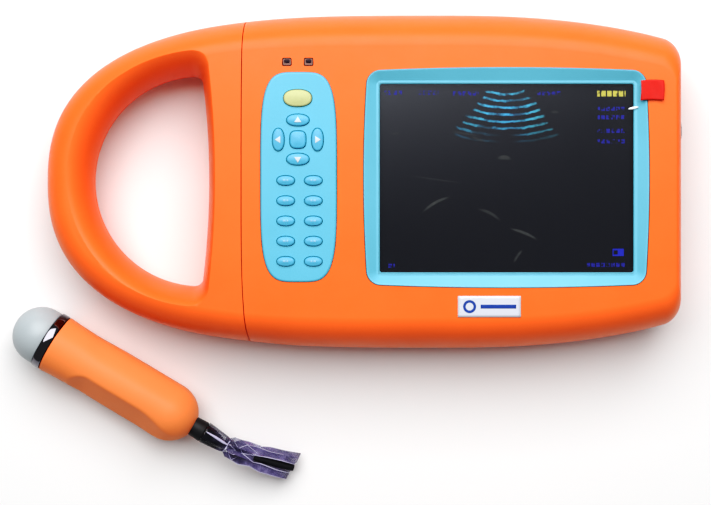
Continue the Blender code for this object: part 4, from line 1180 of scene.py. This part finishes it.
def make_wrap():
    """Clear packing film: a sleeve over the boot, gathered at a neck, then a crumpled flare."""
    rng = np.random.default_rng(11)
    count = 18
    heights = rng.uniform(0.5, 1.5, count)
    rings = []
    for z, half_x, half_y, fold, crumple in WRAP_SECTIONS:
        centre = Vector(cable_point(max(0.0, (CURVE_START - z) / CURVE_LENGTH), z))
        ring = []
        for k in range(count):
            angle = 2 * math.pi * (k + 0.35 * crumple * rng.uniform(-1, 1)) / count
            ridge = fold * heights[k] * (1 if k % 2 else -1)
            jitter = 0.00045 * crumple * rng.uniform(-1, 1)
            along = 0.0009 * crumple * rng.uniform(-1, 1)
            x = (half_x + ridge + jitter) * math.cos(angle)
            y = (half_y + ridge + jitter) * math.sin(angle)
            ring.append((centre.x + x, centre.y + y, centre.z + along))
        rings.append(ring)
    # the flare is slit on top: its two edges lie beside the cable, which shows between them
    bm = bmesh.new()
    rows = [[bm.verts.new(point) for point in ring] for ring in rings]
    for i, (near, far) in enumerate(zip(rows, rows[1:])):
        if i < SLIT_FROM:
            bridge(bm, near, far)
        else:
            bridge(bm, near[1:], far[1:], around=False)
    bmesh.ops.delete(bm, geom=[v for v in bm.verts if not v.link_faces], context="VERTS")
    bmesh.ops.recalc_face_normals(bm, faces=bm.faces)
    bmesh.ops.triangulate(bm, faces=bm.faces)
    make_violet_film()
    film = moved(bm, PROBE)
    piece("crumpled_film", film, "violet_film", "probe", ["cable_wrap"], smooth=8, thickness=0.00008, offset=0.0)

    # pale threads along the creases as painted highlights: a few long ones, short bent ones past the neck, one round
    # the neck
    paths = [([(k, i) for i in range(first, last + 1)], radius) for k, first, last, radius in LONG_CREASE_GLINTS]
    paths += [(path, 0.00017) for path in BENT_CREASE_GLINTS]
    paths.append(([(k % count, 4) for k in range(-3, 5)], 0.00026))
    bm = join(*[tube([Vector(rings[i][k]) for k, i in path], radius, 6) for path, radius in paths])
    piece("film_crease_glints", moved(bm, PROBE), "film_edge", "probe", (), 40)


make_probe_head()
make_probe_grip()
make_boot()
make_cable()
make_wrap()

# ---------------------------------------------------------------- small parts


def make_nameplate():
    """A plain white label with a generic mark: a ring and a bar."""
    low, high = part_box("nameplate")
    centre_y = middle("nameplate")[1]
    raised = 0.00038

    def strip(x0, x1, y0, y1, lift):
        def point(u, v):
            y = y0 + (y1 - y0) * v
            return (x0 + (x1 - x0) * u, y, face_level(y) + lift)

        return surface(20, 8, point)

    label = strip(low.x, high.x, low.y, high.y, 0.00006)
    piece("label", label, "white_label", "casing", ["nameplate"], thickness=0.0003, offset=1.0)
    bar = strip(low.x + 0.0105, high.x - 0.0022, centre_y - 0.0009, centre_y + 0.0009, raised)
    piece("label_bar", bar, "label_blue", "casing", (), thickness=0.00004, offset=1.0)
    where = Matrix.Translation((low.x + 0.0054, centre_y, face_level(centre_y) + raised))
    ring = turned([(0.0018, 0.0), (0.0030, 0.0), (0.0030, 0.00004), (0.0018, 0.00004)], 48, where, closed=True)
    piece("label_ring", ring, "label_blue", "casing", ())


def make_lamps():
    """Two square lenses, each with a dark core."""
    for name in LAMPS:
        low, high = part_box(name)
        ring = lamp_ring(name)
        rings = [ring(0.0, low.z), ring(0.0, high.z - 0.0002), ring(-0.0002, high.z)]
        piece(name + "_lens", loft(rings), "lamp_lens", "casing", [name])
        x, y = middle(name)
        ring = pill(0.0013, 0.0009, 4.0, 40, (x, y + 0.0003))
        rings = [ring(0.0, high.z - 0.0001), ring(0.0, high.z + 0.00005), ring(-0.0001, high.z + 0.0001)]
        piece(name + "_core", loft(rings), "lamp_core", "casing", ())


def make_probe_socket():
    """A round connector: a polished shell, a black insert and seven pins."""
    low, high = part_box("probe_socket")
    where = end_place("probe_socket")
    lip, back = high.x, low.x
    floor = lip - 0.0030
    profile = [
        (0.0, floor), (0.0060, floor), (0.0062, floor + 0.0002), (0.0062, lip - 0.0003), (0.0065, lip),
        (0.0079, lip), (0.0082, lip - 0.0002), (0.0083, lip - 0.0006), (0.0083, back + 0.0020),
        (0.0098, back + 0.0020), (0.0100, back + 0.0018), (0.0100, back), (0.0, back),
    ]
    piece("socket_shell", turned(profile, 72, where), "steel", "casing", ["probe_socket"], 40)
    face, hidden = floor + 0.0012, floor + 0.0001
    profile = [(0.0, face), (0.0054, face), (0.0058, face - 0.0004), (0.0058, hidden), (0.0, hidden)]
    piece("socket_insert", turned(profile, 56, where), "black_plastic", "casing", smooth=40)
    tip, root = lip - 0.0007, face - 0.0002
    profile = [(0.0, tip), (0.0003, tip - 0.0001), (0.00048, tip - 0.0004), (0.00048, root), (0.0, root)]
    spots = [(0.0, 0.0)] + [(0.0035 * c, 0.0035 * s) for c, s in circle(6)]
    pins = [turned(profile, 20, where @ Matrix.Translation((x, y, 0))) for x, y in spots]
    piece("socket_pins", join(*pins), "steel", "casing", smooth=40)


def make_charging_jack():
    """A black tube with a steel pin."""
    low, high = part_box("charging_jack")
    where = end_place("charging_jack")
    mouth = high.x
    floor = mouth - 0.0079
    profile = [
        (0.0, floor), (0.0027, floor), (0.0027, mouth - 0.0003), (0.0030, mouth), (0.0032, mouth),
        (0.0034, mouth - 0.0002), (0.0034, low.x), (0.0, low.x),
    ]
    piece("jack_shell", turned(profile, 48, where), "black_plastic", "casing", ["charging_jack"], smooth=40)
    tip, root = mouth - 0.0020, floor + 0.0001
    profile = [(0.0, tip), (0.0007, tip), (0.0011, tip - 0.0005), (0.0011, root), (0.0, root)]
    piece("jack_pin", turned(profile, 28, where), "steel", "casing", smooth=40)


def make_port_flap():
    """A rubber flap with rounded edges, a sunk field and three ridges for the fingertip."""
    low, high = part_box("port_flap")
    centre = ((low.y + high.y) / 2, (low.z + high.z) / 2)
    half_y, half_z = (high.y - low.y) / 2, (high.z - low.z) / 2
    edge = 0.0003

    def ring(change, x):
        outline = soft_rectangle(half_y + change, half_z + change, max(0.0007 + change, 0.0003), 0.0, 0.0, centre)
        return [(x, y, z) for y, z in outline]

    rings = [ring(-edge, low.x), ring(0.0, low.x + 0.0002), ring(0.0, high.x - edge)] + rim(ring, high.x, edge, 4)
    rings += [ring(-0.0011, high.x), ring(-0.0013, high.x - 0.0001), ring(-0.0015, high.x - 0.0003)]
    shapes = [loft(rings)]
    for k in range(3):
        z = high.z - 0.0030 - 0.0011 * k
        start, end = (high.x - 0.0006, centre[0] - 0.0036, z), (high.x, centre[0] + 0.0036, z + 0.0005)
        shapes.append(box(start, end, 0.00012))
    piece("flap", join(*shapes), "black_rubber", "port_flap", ["port_flap"])


def make_battery_door():
    """The door's plate with a dished thumb notch and grooves, its two hinge pins, and a foam pad inside."""
    low, high = DOOR_LOW, DOOR_HIGH
    door = box((low.x, -DOOR_HALF_Y, low.z), (high.x, DOOR_HALF_Y, high.z), 0.0003, 3)
    notch = high.x - 0.0060
    profile = [(0.0, 0.0013), (0.0040, 0.0012), (0.0062, 0.0009), (0.0074, 0.0003), (0.0077, -0.0010), (0.0, -0.0010)]
    cutters = [new_object("notch_cut", turned(profile, 48, Matrix.Translation((notch, 0, 0))))]
    for k in range(6):
        x, half = notch - 0.0125 - 0.0024 * k, 0.0110 - 0.0012 * k
        groove = box((x - 0.0005, -half, -0.001), (x + 0.0005, half, low.z + 0.0006), 0.0003, 2)
        cutters.append(new_object("groove_cut", groove))
    piece("door", door, "orange_abs", "battery_door", ["battery_door"], cutters=cutters, weighted=True)
    axis = Matrix.Translation((low.x + 0.0010, 0, 0.0013)) @ Matrix.Rotation(math.radians(90), 4, "X")
    pins = []
    for way in (-1, 1):
        inner, outer = way * (DOOR_HALF_Y - 0.0010), way * high.y
        profile = [(0.0, inner), (0.0005, inner), (0.0005, outer - way * 0.0002), (0.0003, outer), (0.0, outer)]
        pins.append(turned(profile, 20, axis))
    piece("door_pins", join(*pins), "orange_abs", "battery_door", smooth=40)
    pad = box((low.x + 0.0220, -0.0160, high.z - 0.0002), (low.x + 0.0500, 0.0160, high.z + 0.0006), 0.0003, 2)
    piece("door_pad", pad, "black_rubber", "battery_door")


def make_screws():
    """Pan heads with a cross recess, in their seats in the back."""
    for turn, name in enumerate(COVER_SCREWS + HANDLE_SCREWS):
        low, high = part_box(name)
        z, top = low.z, high.z
        profile = [
            (0.0, z), (0.0012, z + 0.00005), (0.0021, z + 0.0003), (0.0027, z + 0.0008), (0.0030, z + 0.0014),
            (0.0030, z + 0.0020), (0.0014, z + 0.0020), (0.0014, top - 0.0005), (0.0010, top), (0.0, top),
        ]
        screw = turned(profile, 40, upright(name))
        cutters = []
        for degrees in (37 * turn, 37 * turn + 90):
            arm = box((-0.0015, -0.00032, z - 0.001), (0.0015, 0.00032, z + 0.0010))
            spin = Matrix.Rotation(math.radians(degrees), 4, "Z")
            cutters.append(new_object("cross_cut", moved(arm, upright(name) @ spin)))
        piece(name + "_head", screw, "steel", "casing", [name], cutters=cutters, weighted=True)


make_nameplate()
make_lamps()
make_probe_socket()
make_charging_jack()
make_port_flap()
make_battery_door()
make_screws()

# ---------------------------------------------------------------- floor, light, camera


def make_stage():
    look = Nodes("floor")
    look.set(base_color=look.mix(look.noise(3.0), (0.80, 0.80, 0.80), (0.82, 0.82, 0.82)), roughness=0.8)
    bm = bmesh.new()
    bmesh.ops.create_grid(bm, x_segments=8, y_segments=8, size=3.0)
    bmesh.ops.translate(bm, vec=(0, 0, -0.0002), verts=bm.verts)
    new_object("floor", bm, "floor")


def make_lights():
    """One large soft light above and behind the top edge, and a weak even surround."""
    light = bpy.data.lights.new("softbox", "AREA")
    light.shape = "RECTANGLE"
    light.size, light.size_y, light.energy = 1.5, 1.15, 27.5
    softbox = bpy.data.objects.new("softbox", light)
    bpy.context.scene.collection.objects.link(softbox)
    softbox.location = (-0.08, 0.63, 1.05)
    aim = Vector((-0.05, 0.03, 0.0)) - softbox.location
    softbox.rotation_euler = aim.to_track_quat("-Z", "Y").to_euler()
    world = bpy.data.worlds.new("studio")
    bpy.context.scene.world = world
    world.use_nodes = True
    background = world.node_tree.nodes["Background"]
    background.inputs[0].default_value = (1.0, 1.0, 1.0, 1.0)
    background.inputs[1].default_value = 0.24


TONE_TOE = ((0.03, 0.007), (0.08, 0.034), (0.15, 0.105), (0.26, 0.245), (0.45, 0.45))


def make_camera():
    data = bpy.data.cameras.new("camera")
    data.sensor_width = 36.0
    data.lens = 66.0
    data.shift_y = -0.1006
    data.clip_start = 0.01
    camera = bpy.data.objects.new("camera", data)
    bpy.context.scene.collection.objects.link(camera)
    camera.location = (-0.0515, 0.0003, 0.644)
    bpy.context.scene.camera = camera
    settings = bpy.context.scene.view_settings
    settings.view_transform = "Standard"
    # a photographic toe: deep tones fall off faster than bright ones
    settings.use_curve_mapping = True
    curve = settings.curve_mapping.curves[3]
    for place_at, level in TONE_TOE:
        curve.points.new(place_at, level)
    settings.curve_mapping.update()


make_stage()
make_lights()
make_camera()
